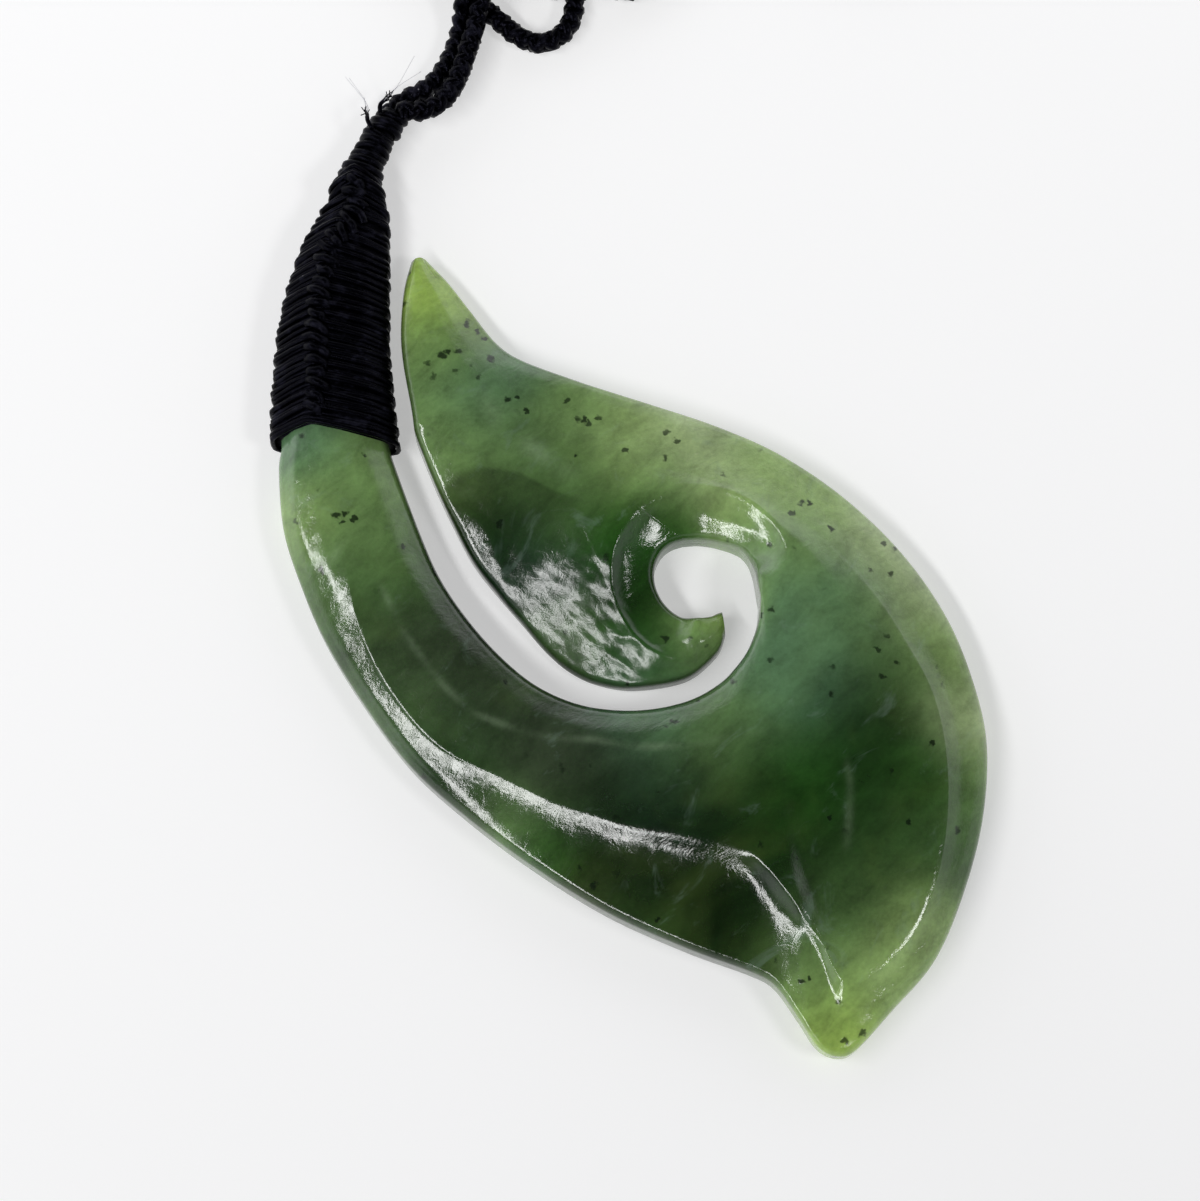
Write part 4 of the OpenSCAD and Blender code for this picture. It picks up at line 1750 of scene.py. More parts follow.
@dataclass
class ShankSleeve:
    """The rings that the binding's threads are laid on, from its hem to the lashing, in mm.

    Attributes:
        hem_row: Row of the shank where the binding starts.
        last_row: Row of the shank where its neck starts.
        count: Number of rings from the one to the other.
        grow: Distance of the thread's middle from the stone.
        neck_w: Width of the bound neck.
        neck_t: Thickness of the bound neck.
        neck_l: Length of the bound neck.
        thread: Radius of the thread.
        bevel_share: Largest share of a side that its bevel takes up.
        neck: Rows of the binding past the stone's end.
        lash: Rows of the lashing after them.
    """

    stone: StoneHook
    hem_row: float = 6.0
    last_row: float = 0.7
    count: int = 16
    grow: float = 0.70
    neck_w: float = 4.4
    neck_t: float = 3.6
    neck_l: float = 8.6
    thread: float = 0.25
    outer_bevel: float = 1.9
    inner_bevel: float = 1.5
    bevel_share: float = 0.45
    neck: tuple[NeckRow, ...] = (
        NeckRow(-0.0045, -0.02, 1.24, 1.24),
        NeckRow(-0.003, 0.10, 1.08, 1.14),
        NeckRow(-0.002, 0.20, 1.00, 1.04),
    )
    lash: tuple[NeckRow, ...] = (
        NeckRow(0.009, 0.44, 0.82, 0.96),
        NeckRow(0.025, 0.72, 0.76, 0.94),
        NeckRow(0.048, 1.00, 0.70, 0.92),
    )

    def shank_ring(self, row: float, grow: float) -> Array:
        """Returns a taut outline round the shank.

        Args:
            row: Row of the shank.
            grow: Distance from the stone in mm.

        Returns:
            Points from the middle of the back, over the front and home.
        """
        s = self.stone.shank.at(row)
        across = s[INNER_AT] - s[OUTER_AT]
        width = float(np.linalg.norm(across))
        crest = float(np.linalg.norm(s[CREST_AT] - s[OUTER_AT]))
        wide = min(self.outer_bevel, crest * self.bevel_share)
        slim = min(self.inner_bevel, (width - crest) * self.bevel_share)
        low = s[Col.CUT]
        hull = np.array(
            [
                (0, low),
                (0, s[Col.OUTER]),
                (wide, s[Col.OUTER_BEVEL]),
                ((wide + crest) / 2, s[Col.OUTER_MID]),
                (crest, s[Col.CREST]),
                ((width - slim + crest) / 2, s[Col.INNER_MID]),
                (width - slim, s[Col.INNER_BEVEL]),
                (width, s[Col.INNER]),
                (width, low),
            ]
        )
        turn = np.radians(-90.5 - np.arange(0, 359, RING_STEP))
        ways = np.column_stack([np.cos(turn), np.sin(turn)])
        found = hull[np.argmax(hull @ ways.T, axis=0)] + ways * grow
        flat = np.vstack([[width / 2, low - grow], found])
        places = s[OUTER_AT] + flat[:, :1] * (across / width)
        return even_ring(np.column_stack([places, flat[:, 1]]))

    def neck_ring(self, row: NeckRow, run: Array) -> Array:
        """Works out the outline of the bound neck or the lashing.

        Args:
            row: The row that it is at.
            run: Direction of the neck there.

        Returns:
            Points from the middle of the back, over the front and home.
        """
        turn = np.radians(-90 - np.arange(0, 360, RING_STEP))
        wide = self.neck_w * row.wide - 2 * self.thread
        tall = self.neck_t * row.tall - 2 * self.thread
        side = wide / 2 * np.cos(turn)
        places = self.neck_mid(row) + side[:, None] * np.array([run[1], -run[0]])
        high = self.thread + tall / 2 * (1 + np.sin(turn))
        return even_ring(np.column_stack([places, high]))

    def neck_mid(self, row: NeckRow) -> Array:
        """Returns the middle of one row of the neck."""
        return share_at(SHANK[0].x + row.shift, 1.0) + np.array([0, row.rise * self.neck_l])

    def binding_rings(self) -> list[Ring]:
        """Works out the rings of the binding.

        Returns:
            The rings from the hem up.
        """
        rows = np.linspace(self.hem_row, self.last_row, self.count)
        rings = [Ring(self.shank_ring(row, self.grow)) for row in rows]
        rings += [Ring(self.neck_ring(row, UPWARD)) for row in self.neck]
        return rings

    def lashing_rings(self) -> list[Ring]:
        """Works out the rings of the lashing.

        Returns:
            The rings from the binding up.
        """
        rows = [self.neck[-1], *self.lash]
        mids = np.array([self.neck_mid(r) for r in rows])
        runs = unit(np.gradient(mids, axis=0))
        return [Ring(self.neck_ring(r, run)) for r, run in zip(rows, runs)]


def wound(rings: Sequence[Ring], pitch: float, per_turn: int) -> tuple[Array, Array]:
    """Winds one thread along a row of rings.

    Args:
        rings: The rings, in order.
        pitch: Rise per turn in mm.
        per_turn: Points in each turn.

    Returns:
        The thread's path in mm, and the number of turns wound at each point.
    """
    mids = np.array([r.points.mean(0) for r in rings])
    along = travelled(mids)
    turns = int(along[-1] / pitch)
    wraps = np.arange(turns * per_turn + 1) / per_turn
    path = []
    for s in wraps:
        up = s * pitch
        k = min(int(np.searchsorted(along, up, side="right")) - 1, len(rings) - 2)
        f = (up - along[k]) / (along[k + 1] - along[k])
        path.append(rings[k].at(s) * (1 - f) + rings[k + 1].at(s) * f)
    return np.array(path), wraps


KNOT_LINE = (
    (-25.2, 37.0), (-25.3, 36.0), (-24.9, 34.6), (-25.1, 33.2), (-25.7, 32.1), (-26.6, 31.1),
    (-27.4, 29.6), (-27.5, 28.5), (-27.8, 26.4), (-28.0, 25.0), (-28.1, 23.4), (-28.3, 21.4),
    (-28.2, 19.7), (-28.2, 17.8), (-28.0, 16.4), (-28.3, 14.7), (-28.6, 13.5), (-28.9, 12.6),
)


@dataclass(frozen=True)
class Drape:
    """How the turns of thread rise at the line of knots and gather in ridges, in mm.

    Attributes:
        pull: Height by which a turn rises at the knots.
        tilt: Drop from the left side to the right.
        gather: Height of the ridges that turns gather in.
        spacing: Distance between those ridges.
        ragged: Unevenness.
        front: Height where the pull starts, and over which it grows.
        ridge: The same for the ridges.
        middle: Height of the middle of the binding.
        reach: How far the pull reaches, as a share of the width.
        step: Step of the unevenness from point to point.
        levels: Places along Y that the widths are for.
        left: Distance from the knots to the binding's left side.
        right: Distance to its right side.
    """

    pull: float = 1.5
    tilt: float = 0.5
    gather: float = 0.15
    spacing: float = 1.3
    ragged: float = 0.15
    front: Pair = (0.6, 2.6)
    ridge: Pair = (0.3, 1.0)
    middle: float = 2.2
    reach: float = 1.1
    step: float = 0.11
    levels: tuple[float, ...] = (11.0, 24.0, 33.0, 37.0)
    left: tuple[float, ...] = (3.6, 3.6, 2.8, 2.4)
    right: tuple[float, ...] = (8.4, 6.8, 4.2, 2.6)

    def __call__(self, points: Array, seed: int) -> Array:
        """Moves points of the binding.

        Args:
            points: Points in mm, in order along the thread.
            seed: Seed of the unevenness.

        Returns:
            The moved points.
        """
        lines = np.array(KNOT_LINE)[::-1]
        x, y, z = points.T
        knots = np.interp(y, lines[:, 1], lines[:, 0])
        left = np.interp(y, self.levels, self.left)
        right = np.interp(y, self.levels, self.right)
        wide = np.where(x < knots, left, right)
        front = eased((z - self.front[0]) / self.front[1])
        near = 1 - np.minimum(np.abs(x - knots) / (wide * self.reach), 1)
        moved = points.copy()
        s = np.arange(len(points)) * self.step
        moved[:, 1] += front * self.pull * near - self.tilt * (x - knots) / (2 * wide)
        moved[:, 1] += self.ragged * smooth_noise(s, seed)
        moved[:, 2] += self.ragged * 0.5 * smooth_noise(s * 1.3, seed + 1) * front
        wave = np.cos(2 * math.pi * y / self.spacing + 1.5 * smooth_noise(s * 0.08, seed + 2))
        out = np.column_stack([x - knots, z - self.middle])
        out /= np.linalg.norm(out, axis=1)[:, None] + 1e-9
        lift = self.gather * wave * eased((z - self.ridge[0]) / self.ridge[1])
        moved[:, 0] += out[:, 0] * lift
        moved[:, 2] += out[:, 1] * lift
        return moved


@dataclass
class ShankBinding:
    """Fine waxed thread wound round the top of the shank over a plain dark sleeve, in mm.

    Attributes:
        core_grow: Distance of the sleeve from the stone.
        core_share: Its size at the neck, as a share of the threads' ring.
        core_past: How far it reaches past the hem, in rows of the shank.
    """

    sleeve: ShankSleeve
    material: Material
    drape: Drape = Drape()
    pitch: float = 0.46
    thread_radius: float = 0.25
    per_turn: int = 44
    seed: int = 21
    core_grow: float = 0.58
    core_share: float = 0.95
    core_past: float = 0.12

    def build(self) -> Object:
        """Lays the thread and the sleeve under it.

        Returns:
            The finished piece.
        """
        wraps = wound(self.sleeve.binding_rings(), self.pitch, self.per_turn)[0]
        path = self.drape(wraps, self.seed)
        path[:, 2] = np.maximum(path[:, 2], self.thread_radius + TABLE_GAP)
        thread = RopeMaker(self.thread_radius, 6, self.material).lay("binding_thread", [path])
        made = joined("shank_binding_thread", [thread, self.core()])
        seat(made, Node.BINDING)
        return made

    def core(self) -> Object:
        """Builds the dark sleeve that shows between the turns.

        Returns:
            The sleeve as a mesh object.
        """
        bound = self.sleeve
        rows = np.linspace(bound.hem_row - self.core_past, bound.last_row, bound.count)
        rings = [bound.shank_ring(row, self.core_grow) for row in rows]
        for row in bound.neck:
            rings.append(Ring(bound.neck_ring(row, UPWARD)).scaled(self.core_share))
        smooth = replace(self.drape, gather=0.0, ragged=0.0)
        points, faces = skin([smooth(ring, 0) for ring in rings])
        points[:, 2] = np.maximum(points[:, 2], 2 * TABLE_GAP)
        made = mesh_object("binding_sleeve", points, faces)
        made.data.materials.append(self.material)
        return made


def skin(rings: Sequence[Array]) -> tuple[Array, list[list[int]]]:
    """Joins rings of equal length into one closed surface.

    Args:
        rings: Rings that run clockwise seen along their order.

    Returns:
        Points and faces.
    """
    n, m = len(rings[0]), len(rings)
    points = np.vstack([np.vstack(rings), rings[0].mean(0), rings[-1].mean(0)])
    faces = []
    for r in range(m - 1):
        for i in range(n):
            j = (i + 1) % n
            faces.append([r * n + i, (r + 1) * n + i, (r + 1) * n + j, r * n + j])
    for i in range(n):
        j = (i + 1) % n
        faces.append([m * n, i, j])
        faces.append([m * n + 1, (m - 1) * n + j, (m - 1) * n + i])
    return points, faces


def joined(name: str, parts: Sequence[Object]) -> Object:
    """Joins mesh objects into one and removes them.

    Args:
        name: Name of the new object.
        parts: The objects, each with one material, which it keeps.

    Returns:
        The new object.
    """
    points: list[Array] = []
    faces: list[list[int]] = []
    finish: list[int] = []
    finishes: list[Material] = []
    count = 0
    for part in parts:
        mesh = part.data
        here = np.empty(len(mesh.vertices) * 3)
        mesh.vertices.foreach_get("co", here)
        points.append(here.reshape(-1, 3) / MM)
        faces += [[v + count for v in f.vertices] for f in mesh.polygons]
        count += len(mesh.vertices)
        own = mesh.materials[0]
        if own not in finishes:
            finishes.append(own)
        finish += [finishes.index(own)] * len(mesh.polygons)
    made = mesh_object(name, np.vstack(points), faces)
    for material in finishes:
        made.data.materials.append(material)
    made.data.polygons.foreach_set("material_index", finish)
    for part in parts:
        bpy.data.objects.remove(part)
    return made


@dataclass
class KnotSpine:
    """The raised line of hitches down the front of the binding, with its sizes in mm.

    Attributes:
        lift: Height of the line above the thread.
        skipped: Points left free at the line's start and end.
        taper: Share of its width that the line loses on its way.
        fine: Distance between the points of a hitch.
        hitch: Its path across, along and above the line, in half widths.
    """

    sleeve: ShankSleeve
    material: Material
    strand_radius: float = 0.42
    pitch: float = 1.12
    half_width: float = 0.98
    spacing: float = 0.1
    ragged: float = 0.08
    lift: float = 0.12
    skipped: tuple[int, int] = (4, 12)
    taper: float = 0.28
    sizes: Pair = (0.75, 1.2)
    fine: float = 0.14
    seed: int = 12
    hitch: tuple[Triple, ...] = (
        (-1.0, -0.34, -0.10), (-0.6, -0.22, 0.22), (-0.1, 0.0, 0.42),
        (0.45, 0.2, 0.34), (0.85, 0.42, 0.08), (1.0, 0.66, -0.15),
    )

    def build(self) -> Object:
        """Lays one slanting hitch after another.

        Returns:
            The finished piece.
        """
        rings = self.sleeve.binding_rings()
        ys = np.array([r.points[:, 1].mean() for r in rings])
        stops = []
        for x, y in KNOT_LINE:
            k = int(np.clip(np.searchsorted(ys, y) - 1, 0, len(rings) - 2))
            f = float(np.clip((y - ys[k]) / (ys[k + 1] - ys[k]), 0, 1))
            top = rings[k].top_at(x) * (1 - f) + rings[k + 1].top_at(x) * f
            stops.append((x, y, top + self.lift))
        centre = even_path(np.array(stops), self.spacing)
        run = unit(np.gradient(centre, axis=0))
        across = unit(np.cross([0, 0, 1.0], run))
        up = np.cross(run, across)
        rng = np.random.default_rng(self.seed)
        arc = np.array(self.hitch)
        runs = []
        first, last = self.skipped
        for i in np.arange(first, len(centre) - last, self.pitch / self.spacing):
            k = int(i)
            taper = (1 - self.taper) + self.taper * (1 - k / len(centre))
            size = self.half_width * rng.uniform(*self.sizes) * taper
            shape = arc * size + rng.normal(0, self.ragged, arc.shape)
            line = centre[k] + shape @ np.array([across[k], run[k], up[k]])
            runs.append(even_path(line, self.fine))
        made = RopeMaker(self.strand_radius, 8, self.material).lay("knot_spine", runs)
        seat(made, Node.BINDING)
        return made


@dataclass
class NeckLashing:
    """Thread wound round both legs of the neck cord, with its sizes in mm.

    The thread and the core lie at those shares of the rings. The thread is ragged along X, Y
    and Z, each with its own waves for each turn and its own seed.
    """

    sleeve: ShankSleeve
    material: Material
    pitch: float = 0.74
    thread_radius: float = 0.40
    per_turn: int = 30
    share: float = 0.90
    core_share: float = 0.88
    ragged: Triple = (0.14, 0.20, 0.16)
    waves: Triple = (4.0, 5.0, 4.0)
    seeds: tuple[int, int, int] = (33, 31, 32)

    def build(self) -> Object:
        """Lays the thread and the core under it.

        Returns:
            The finished piece.
        """
        rings = self.sleeve.lashing_rings()
        path, wraps = wound(
            [Ring(ring.scaled(self.share)) for ring in rings], self.pitch, self.per_turn
        )
        for axis, (depth, waves, seed) in enumerate(zip(self.ragged, self.waves, self.seeds)):
            path[:, axis] += depth * smooth_noise(wraps * waves, seed)
        path[:, 2] = np.maximum(path[:, 2], self.thread_radius + TABLE_GAP)
        thread = RopeMaker(self.thread_radius, 8, self.material).lay("lashing_thread", [path])
        core = skin([ring.scaled(self.core_share) for ring in rings])
        under = mesh_object("lashing_core", *core)
        under.data.materials.append(self.material)
        made = joined("neck_lashing_thread", [thread, under])
        seat(made, Node.LASHING)
        return made


@dataclass(frozen=True)
class Stop:
    """A stop of the cord in mm from the lashing's end, on the table unless lifted."""

    x: float
    y: float
    z: float = CORD_R


CORD_ROUTE = records(
    Stop,
    (0.2, 1.2), (1.5, 2.1), (3.2, 3.1), (4.5, 4.7), (5.5, 6.8), (6.1, 8.9, 1.1), (6.4, 10.8, 2.1),
    (6.5, 12.6, 2.75), (6.5, 15.2, 2.85), (6.8, 18.3, 1.9), (7.4, 21.9), (6.2, 64), (4.2, 70),
    (0.2, 72.5), (-3.8, 69.5), (-5.3, 63), (-5.3, 26), (-3.5, 19.5), (-0.5, 17.5), (3.2, 16.2),
    (5.8, 14.3), (7.2, 12.6), (8.5, 11.1), (10, 9.7), (11.6, 8.3), (13.6, 7.6), (15.3, 8.2),
    (16.4, 9.5), (16.9, 11.4), (17, 14.5), (16.6, 24), (17.6, 63), (19.4, 69), (23.2, 71.5),
    (26.8, 69), (28.6, 63), (28.6, 22.5), (27.2, 16.9), (24.3, 13.7), (21.3, 13, 1.1),
    (18.7, 13.4, 2.6), (16.1, 12.3, 2.8), (13.7, 13.3, 1.5), (12.4, 15.7), (12.2, 20), (12.3, 66),
    (13.4, 76), (18.2, 82.5), (25.6, 84), (33.6, 82), (38.4, 74), (39.4, 63.5), (39.2, 26),
    (41.2, 19.5), (45.2, 17), (49.2, 19.5), (50.8, 26), (50.6, 68.5), (48.2, 82), (40.2, 90.5),
    (27.6, 94), (16.2, 91.5), (10.7, 83.5), (9.5, 70.5), (9.5, 25), (9.4, 20, 1.3),
    (9.1, 17.3, 2.4), (8.7, 15, 2.8), (8.4, 12.8, 2.85), (8, 10.9, 2.8), (7.5, 8.6, 2.3),
    (6.9, 6.6, 2.15), (6.3, 4.6, 2.15), (5.6, 2.8, 2.15), (4.6, 1.3, 2.15), (3.3, 0.4, 2.15),
    (2.1, 0.1, 2.2), (1.1, 0.1, 2.3),
)
LASH_END = (-21.624, 44.3)
FIRST_LEG = (-22.187, 44.644, 0.973)
LAST_LEG = (-21.061, 43.956, 2.339)


@dataclass
class NeckCord:
    """The whole loop of plaited neck cord, laid loose, with its sizes in mm.

    The rise is how far the strands pass over and under each other in each turn.
    """

    material: Material
    braid_radius: float = 0.47
    strand_radius: float = 0.53
    rise: float = 0.10
    turn: float = 2.7
    samples: int = 11

    def centre(self) -> Array:
        """Works out the middle of the cord.

        Returns:
            Its points at even distances in mm.
        """
        x, y = LASH_END
        stops = [(x + s.x, y + s.y, s.z + 2 * TABLE_GAP) for s in CORD_ROUTE]
        route = np.array([FIRST_LEG, *stops, LAST_LEG])
        return even_path(route, self.turn / self.samples)

    def build(self) -> Object:
        """Returns:
            The finished piece.
        """
        centre = self.centre()
        side, up = frames_along(centre)
        steps = steps_of(centre)
        turn = 2 * math.pi * np.arange(len(centre)) * float(steps.mean()) / self.turn
        runs = []
        for way in (1, -1):
            for start in (0.0, math.pi):
                angle = way * turn + start
                radius = self.braid_radius + way * self.rise * np.cos(2 * turn)
                out = side * (np.cos(angle) * radius)[:, None]
                run = centre + out + up * (np.sin(angle) * radius)[:, None]
                run[:, 2] = np.maximum(run[:, 2], self.strand_radius + 2 * TABLE_GAP)
                runs.append(run)
        made = RopeMaker(self.strand_radius, 6, self.material).lay("plaited_neck_cord", runs)
        seat(made, Node.CORD)
        return made


@dataclass
class LooseEnds:
    """Cut ends of the lashing's thread and the pale hairs about them, with sizes in mm."""

    thread: Material
    hair: Material
    seed: int = 7
    end_radius: float = 0.21
    tip_radius: float = 0.05
    hair_radius: float = 0.018
    fibres: int = 14
    hairs: int = 3
    starts: tuple[tuple[Triple, ...], ...] = (
        ((-23.6, 42.2, 3.3), (-24.0, 42.9, 3.4), (-24.1, 43.5, 3.2)),
        ((-22.9, 43.9, 3.1), (-22.9, 44.6, 3.2), (-22.5, 45.2, 3.0)),
    )

    def build(self) -> Object:
        """Lays the ends and the hairs.

        Returns:
            The finished piece.
        """
        rng = np.random.default_rng(self.seed)
        ends = [even_path(np.array(s), 0.2) for s in self.starts]
        frayed = []
        hairs = []
        for end in ends:
            way = end[-1] - end[-4]
            way /= np.linalg.norm(way)
            frayed += [self.fibre(end, way, rng) for _ in range(self.fibres)]
            hairs += [self.stray(end, way, rng) for _ in range(self.hairs)]
        parts = [
            RopeMaker(self.end_radius, 6, self.thread).lay("cut_ends", ends),
            RopeMaker(self.tip_radius, 4, self.thread).lay("frayed_tips", frayed),
            RopeMaker(self.hair_radius, 3, self.hair).lay("stray_hairs", hairs),
        ]
        made = joined("frayed_ends", parts)
        seat(made, None)
        return made

    @staticmethod
    def fibre(end: Array, way: Array, rng: np.random.Generator) -> Array:
        """Returns the path of one fibre that stands out of a cut end.

        Args:
            end: The end's path.
            way: Direction of the end.
            rng: Source of the draws.

        Returns:
            The fibre's path in mm.
        """
        line = np.array([end[-3], end[-1], end[-1]])
        line[1] += way * 0.3 + rng.normal(0, 0.14, 3)
        line[2] += way * rng.uniform(0.4, 0.9) + rng.normal(0, 0.28, 3)
        return even_path(line, 0.2)

    @staticmethod
    def stray(end: Array, way: Array, rng: np.random.Generator) -> Array:
        """Returns the path of one hair that leaves a cut end.

        Args:
            end: The end's path.
            way: Direction of the end.
            rng: Source of the draws.

        Returns:
            The hair's path in mm.
        """
        spread = rng.normal(0, 0.5, 3)
        tip = end[-1] + (way + spread) * rng.uniform(2.5, 5.0)
        mid = end[-1] + (way - spread * 0.3) * 1.6
        line = np.array([end[-1], mid, tip])
        line[:, 2] = np.clip(line[:, 2], 0.6, 4.4)
        return even_path(line, 0.3)


@dataclass(frozen=True)
class SoftLight:
    """A soft window, with its angles in degrees, its width and height in m, and its power."""

    name: str
    azimuth: float
    elevation: float
    size: Pair
    watts: float
    distance: float = 0.5

    def build(self) -> None:
        """Places the light."""
        data = bpy.data.lights.new(self.name, "AREA")
        data.shape = "RECTANGLE"
        data.size, data.size_y = self.size
        data.energy = self.watts
        made = linked(self.name, data)
        a, e = math.radians(self.azimuth), math.radians(self.elevation)
        way = Vector((math.cos(e) * math.cos(a), math.cos(e) * math.sin(a), math.sin(e)))
        made.location = way * self.distance
        made.rotation_euler = (-way).to_track_quat("-Z", "Y").to_euler()


@dataclass(frozen=True)
class Sky:
    """A pale room that is darker overhead, where the camera and its holder are.

    Attributes:
        colour: Colour of the room.
        belt: Brightness round the sides.
        zenith: Brightness overhead.
        bright_way: Direction of the bright side.
        even_share: Share of the belt's brightness that all sides have.
        dark_from: Height, as the sine of its angle, where it starts to darken.
        dark_to: Height where it is darkest.
    """

    colour: str = "fafbff"
    belt: float = 1.6
    zenith: float = 0.02
    bright_way: Triple = (-0.5, 0.87, 0.0)
    even_share: float = 0.62
    dark_from: float = 0.32
    dark_to: float = 0.70

    def build(self) -> None:
        """Builds the room round the scene."""
        world = bpy.data.worlds.new("pale_room")
        world.use_nodes = True
        nodes = world.node_tree.nodes
        tree = Tree(nodes, world.node_tree.links)
        place = tree.node("ShaderNodeTexCoord", output="Generated")
        height = tree.node("ShaderNodeSeparateXYZ", {}, {"Vector": place}, "Z")
        toward = tree.vector("DOT_PRODUCT", place, self.bright_way, output="Value")
        side = self.belt * (self.even_share + (1 - self.even_share) * toward)
        low = 1.0 - height.between(self.dark_from, self.dark_to)
        strength = self.zenith + low * side
        back = nodes["Background"]
        back.inputs["Color"].default_value = linear(self.colour)
        tree.join(strength, back.inputs["Strength"])
        bpy.context.scene.world = world


@dataclass
class Studio:
    """The camera, the lights, the sky and the surface that the pendant lies on.

    The camera looks at the target from its elevation in degrees. Lengths are in mm.
    """

    target: Triple = (-2.3, -2.6, 0.0)
    elevation: float = 75.0
    distance: float = 300.0
    pixels_per_mm: float = 11.0
    image_side: int = 1201
    table_half: float = 2500.0
    sky: Sky = Sky()
    lights: tuple[SoftLight, ...] = (
        SoftLight("west_window", 210.0, 52.0, (0.52, 0.06), 1.4),
        SoftLight("east_window", -22.0, 47.0, (0.13, 0.09), 0.5),
    )

    def camera(self) -> None:
        """Places the camera."""
        data = bpy.data.cameras.new("camera")
        up = math.radians(self.elevation)
        offset = Vector((0, -math.cos(up), math.sin(up))) * self.distance
        half = self.image_side / 2 / self.pixels_per_mm
        data.angle = 2 * math.atan(half / self.distance)
        data.clip_start = 0.01
        made = linked("camera", data)
        made.location = (Vector(self.target) + offset) * MM
        made.rotation_euler = (-offset).to_track_quat("-Z", "Y").to_euler()
        bpy.context.scene.camera = made

    def table(self) -> None:
        """Lays the pale surface just under the pendant."""
        half = self.table_half
        corners = [(-half, -half, 0), (half, -half, 0), (half, half, 0), (-half, half, 0)]
        made = mesh_object("table_top", np.array(corners, float), [(0, 1, 2, 3)], False)
        made.data.materials.append(TableTop().build())

    def build(self) -> None:
        """Builds the whole studio."""
        self.camera()
        self.table()
        self.sky.build()
        for light in self.lights:
            light.build()
        view = bpy.context.scene.view_settings
        view.view_transform = "Standard"
        view.look = "None"


SPECKS = records(
    Speck,
    (0.236, 0.798, 0.48), (0.244, 0.803, 0.4), (0.304, 0.796, 0.46), (0.27, 0.84, 0.4),
    (0.284, 0.832, 0.42), (0.294, 0.824, 0.32), (0.329, 0.744, 0.34), (0.344, 0.747, 0.3),
    (0.357, 0.733, 0.3), (0.438, 0.722, 0.34), (0.427, 0.675, 0.25), (0.746, 0.623, 0.36),
    (0.758, 0.622, 0.34), (0.786, 0.591, 0.32), (0.089, 0.605, 0.4), (0.101, 0.607, 0.36),
    (0.115, 0.6, 0.32), (0.098, 0.598, 0.26), (0.919, 0.341, 0.32), (0.886, 0.252, 0.32),
    (0.775, 0.257, 0.26), (0.452, 0.184, 0.38), (0.54, 0.147, 0.32), (0.734, 0.079, 0.38),
    (0.746, 0.082, 0.28), (0.32, 0.598, 0.42),
)

FACET = Facet(-1.66, 1.14, 5.7, 0.30, 235.0, 0.010)
SCOOP = Notch(
    border=(
        (0.461, 0.621), (0.437, 0.625), (0.4, 0.634), (0.378, 0.644), (0.351, 0.656),
        (0.325, 0.661), (0.289, 0.665), (0.258, 0.654), (0.238, 0.638), (0.222, 0.61),
    ),
    depth=0.45,
    steep=1.6,
    reach=7.0,
    left=True,
    fade=4.0,
    # Painted shade on the cut side beside the border.
    shade=0.45,
)
# The first line is a painted reflection along the crease of the bevel beside the slot; the others
# are pale lines painted the same way.
PALE_LINES = (
    PaleLine(
        (
            (0.15, 0.531), (0.163, 0.507), (0.18, 0.477), (0.203, 0.45), (0.225, 0.427),
            (0.25, 0.402), (0.283, 0.377), (0.325, 0.362), (0.362, 0.352), (0.4, 0.345),
            (0.45, 0.344), (0.5, 0.335), (0.55, 0.335), (0.6, 0.339), (0.65, 0.348),
            (0.7, 0.358),
        ),
        0.34,
        0.22,
    ),
    PaleLine(((0.06, 0.535), (0.085, 0.553), (0.105, 0.572), (0.125, 0.6)), 0.5, 0.22),
    PaleLine(((0.8, 0.33), (0.805, 0.29), (0.8, 0.24), (0.795, 0.21)), 0.35, 0.16),
    PaleLine(((0.28, 0.76), (0.33, 0.71), (0.39, 0.665), (0.45, 0.65)), 0.9, 0.2),
)
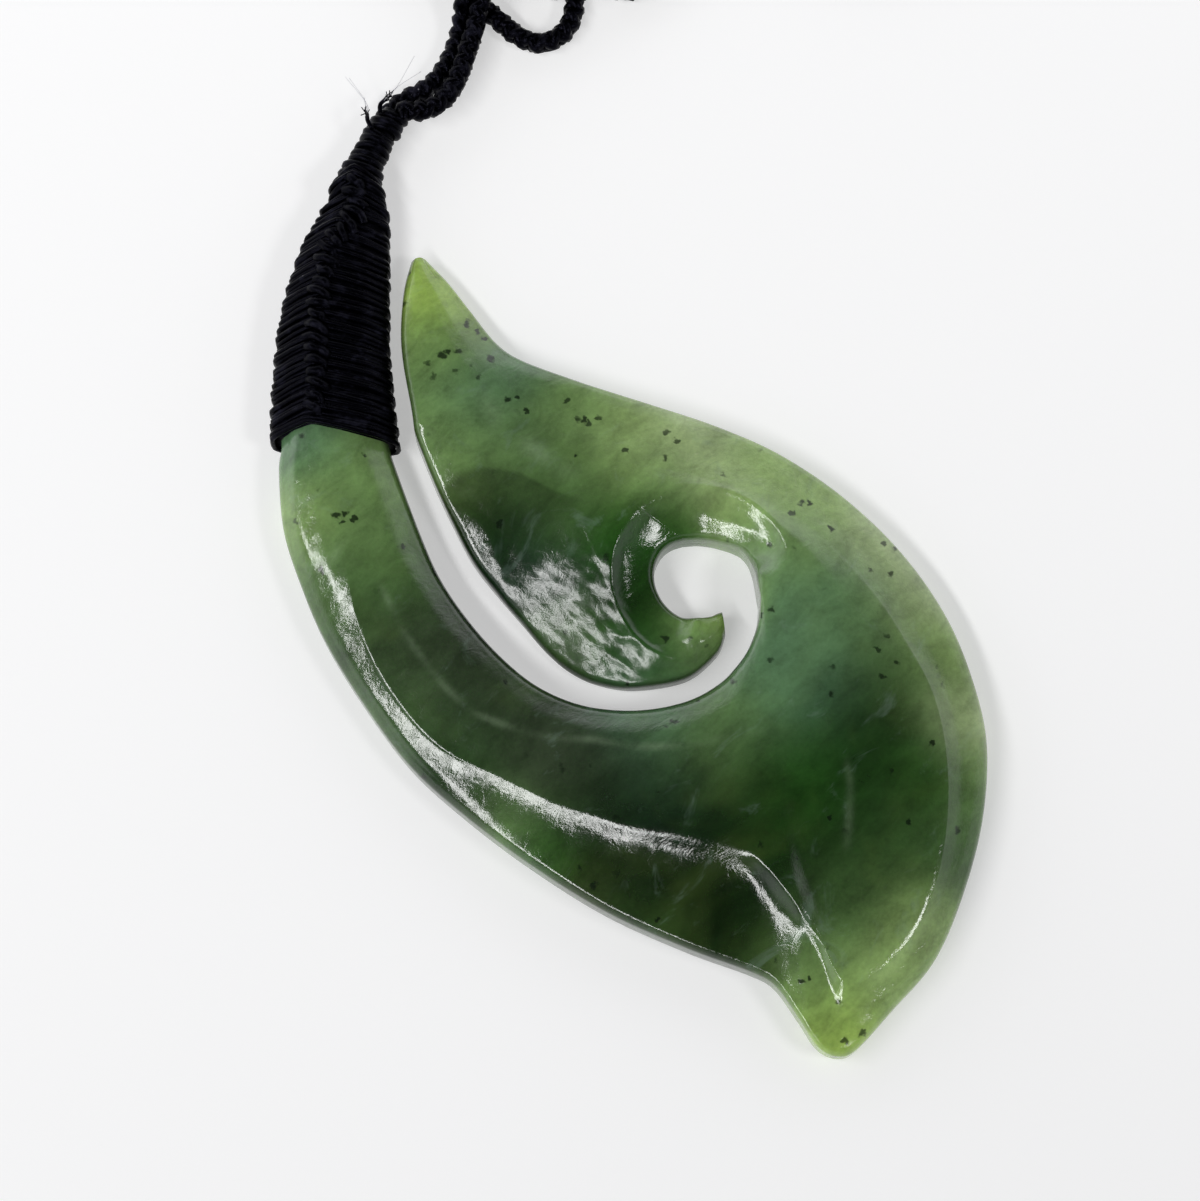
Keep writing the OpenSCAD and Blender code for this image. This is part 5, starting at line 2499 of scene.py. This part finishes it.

# Mostly the stone's own greens. The two small INK patches below the crest are painted shade beside
# its highlight, and the pale greens at the thin tips and edges are partly the stone's own and
# partly painted glow of light through the thin stone.
PATCHES = records(
    Patch,
    (0.09, 0.64, 5, Green.LEAF), (0.04, 0.69, 3, Green.SAGE), (0.07, 0.57, 4, Green.FERN),
    (0.04, 0.6, 3, Green.PALE), (0.14, 0.58, 4, Green.FERN), (0.09, 0.5, 4, Green.MOSS),
    (0.15, 0.52, 4, Green.MOSS), (0.17, 0.46, 4, Green.SLATE), (0.24, 0.42, 5, Green.SLATE),
    (0.15, 0.4, 5, Green.MOSS), (0.26, 0.34, 5, Green.BOTTLE), (0.31, 0.38, 4, Green.SLATE),
    # Painted shade: the first two INK patches of this line, below the crest.
    (0.235, 0.295, 2, Green.INK), (0.285, 0.262, 2, Green.INK), (0.33, 0.24, 4, Green.FERN),
    (0.38, 0.22, 3, Green.FOREST), (0.38, 0.32, 4, Green.SLATE), (0.45, 0.33, 5, Green.SLATE),
    (0.45, 0.27, 4, Green.DEEP), (0.44, 0.17, 4, Green.OLIVE), (0.52, 0.2, 5, Green.INK),
    (0.52, 0.14, 4, Green.BOTTLE), (0.55, 0.29, 5, Green.SPRUCE), (0.53, 0.38, 4, Green.SAGE),
    (0.62, 0.36, 5, Green.FERN), (0.65, 0.27, 6, Green.DEEP), (0.6, 0.17, 5, Green.INK),
    (0.68, 0.12, 4, Green.DEEP), (0.75, 0.22, 6, Green.DEEP), (0.74, 0.3, 5, Green.FOREST),
    (0.8, 0.17, 4, Green.MOSS), (0.75, 0.08, 4, Green.LEAF), (0.78, 0.02, 4, Green.TIP),
    (0.85, 0.07, 3, Green.PALE), (0.9, 0.13, 4, Green.PALE), (0.87, 0.24, 5, Green.BOTTLE),
    (0.95, 0.22, 4, Green.MOSS), (0.83, 0.31, 5, Green.DEEP), (0.93, 0.32, 4, Green.FOREST),
    (0.81, 0.39, 5, Green.DEEP), (0.72, 0.42, 5, Green.SAGE), (0.99, 0.37, 4, Green.MILK),
    (1.00, 0.31, 2.5, Green.LEAF), (0.98, 0.26, 2.5, Green.FERN), (0.97, 0.45, 4, Green.PALE),
    (0.91, 0.43, 4, Green.MOSS), (0.93, 0.52, 4, Green.MILK), (0.86, 0.59, 4, Green.MILK),
    (0.82, 0.49, 5, Green.FERN), (0.75, 0.5, 5, Green.SAGE), (0.73, 0.57, 4, Green.LEAF),
    (0.77, 0.64, 4, Green.PALE), (0.68, 0.67, 5, Green.PALE), (0.59, 0.7, 4, Green.MILK),
    (0.5, 0.7, 5, Green.PALE), (0.41, 0.68, 4, Green.MOSS), (0.43, 0.73, 3, Green.LEAF),
    (0.34, 0.71, 5, Green.FERN), (0.3, 0.76, 4, Green.SAGE), (0.25, 0.8, 4, Green.FERN),
    (0.22, 0.88, 5, Green.TIP), (0.22, 0.81, 3, Green.LEAF), (0.24, 0.7, 5, Green.LEAF),
    (0.3, 0.6, 5, Green.DEEP), (0.37, 0.55, 4, Green.SPRUCE), (0.44, 0.65, 3, Green.MOSS),
    (0.41, 0.6, 3, Green.MOSS), (0.49, 0.58, 4, Green.FOREST), (0.5, 0.52, 3, Green.DEEP),
    (0.54, 0.65, 3, Green.LEAF), (0.54, 0.6, 3, Green.FOREST), (0.4, 0.46, 4, Green.MOSS),
    (0.52, 0.45, 4, Green.FOREST), (0.6, 0.475, 3, Green.LEAF), (0.64, 0.5, 2.5, Green.TIP),
)


def main() -> None:
    """Builds the scene in order."""
    logging.basicConfig(level=logging.INFO, format="%(message)s")
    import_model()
    Studio().build()
    thread = Thread().build()
    plait = Thread(roughness=0.26, fibre=7000.0, name="plaited_cord").build()
    hair = Thread("c4c4cc", "d4d4da", roughness=0.6, name="stray_hair").build()
    stone = StoneHook(Nephrite(SPECKS), FACET, Hewing(), Hollow(), (SCOOP,), PALE_LINES, PATCHES)
    sleeve = ShankSleeve(stone)
    for builder in (
        NeckCord(plait),
        stone,
        ShankBinding(sleeve, thread),
        KnotSpine(sleeve, thread),
        NeckLashing(sleeve, thread),
        LooseEnds(thread, hair),
    ):
        made = builder.build()
        LOG.info("%s: %d faces", made.name, len(made.data.polygons))


if __name__ == "__main__":
    main()
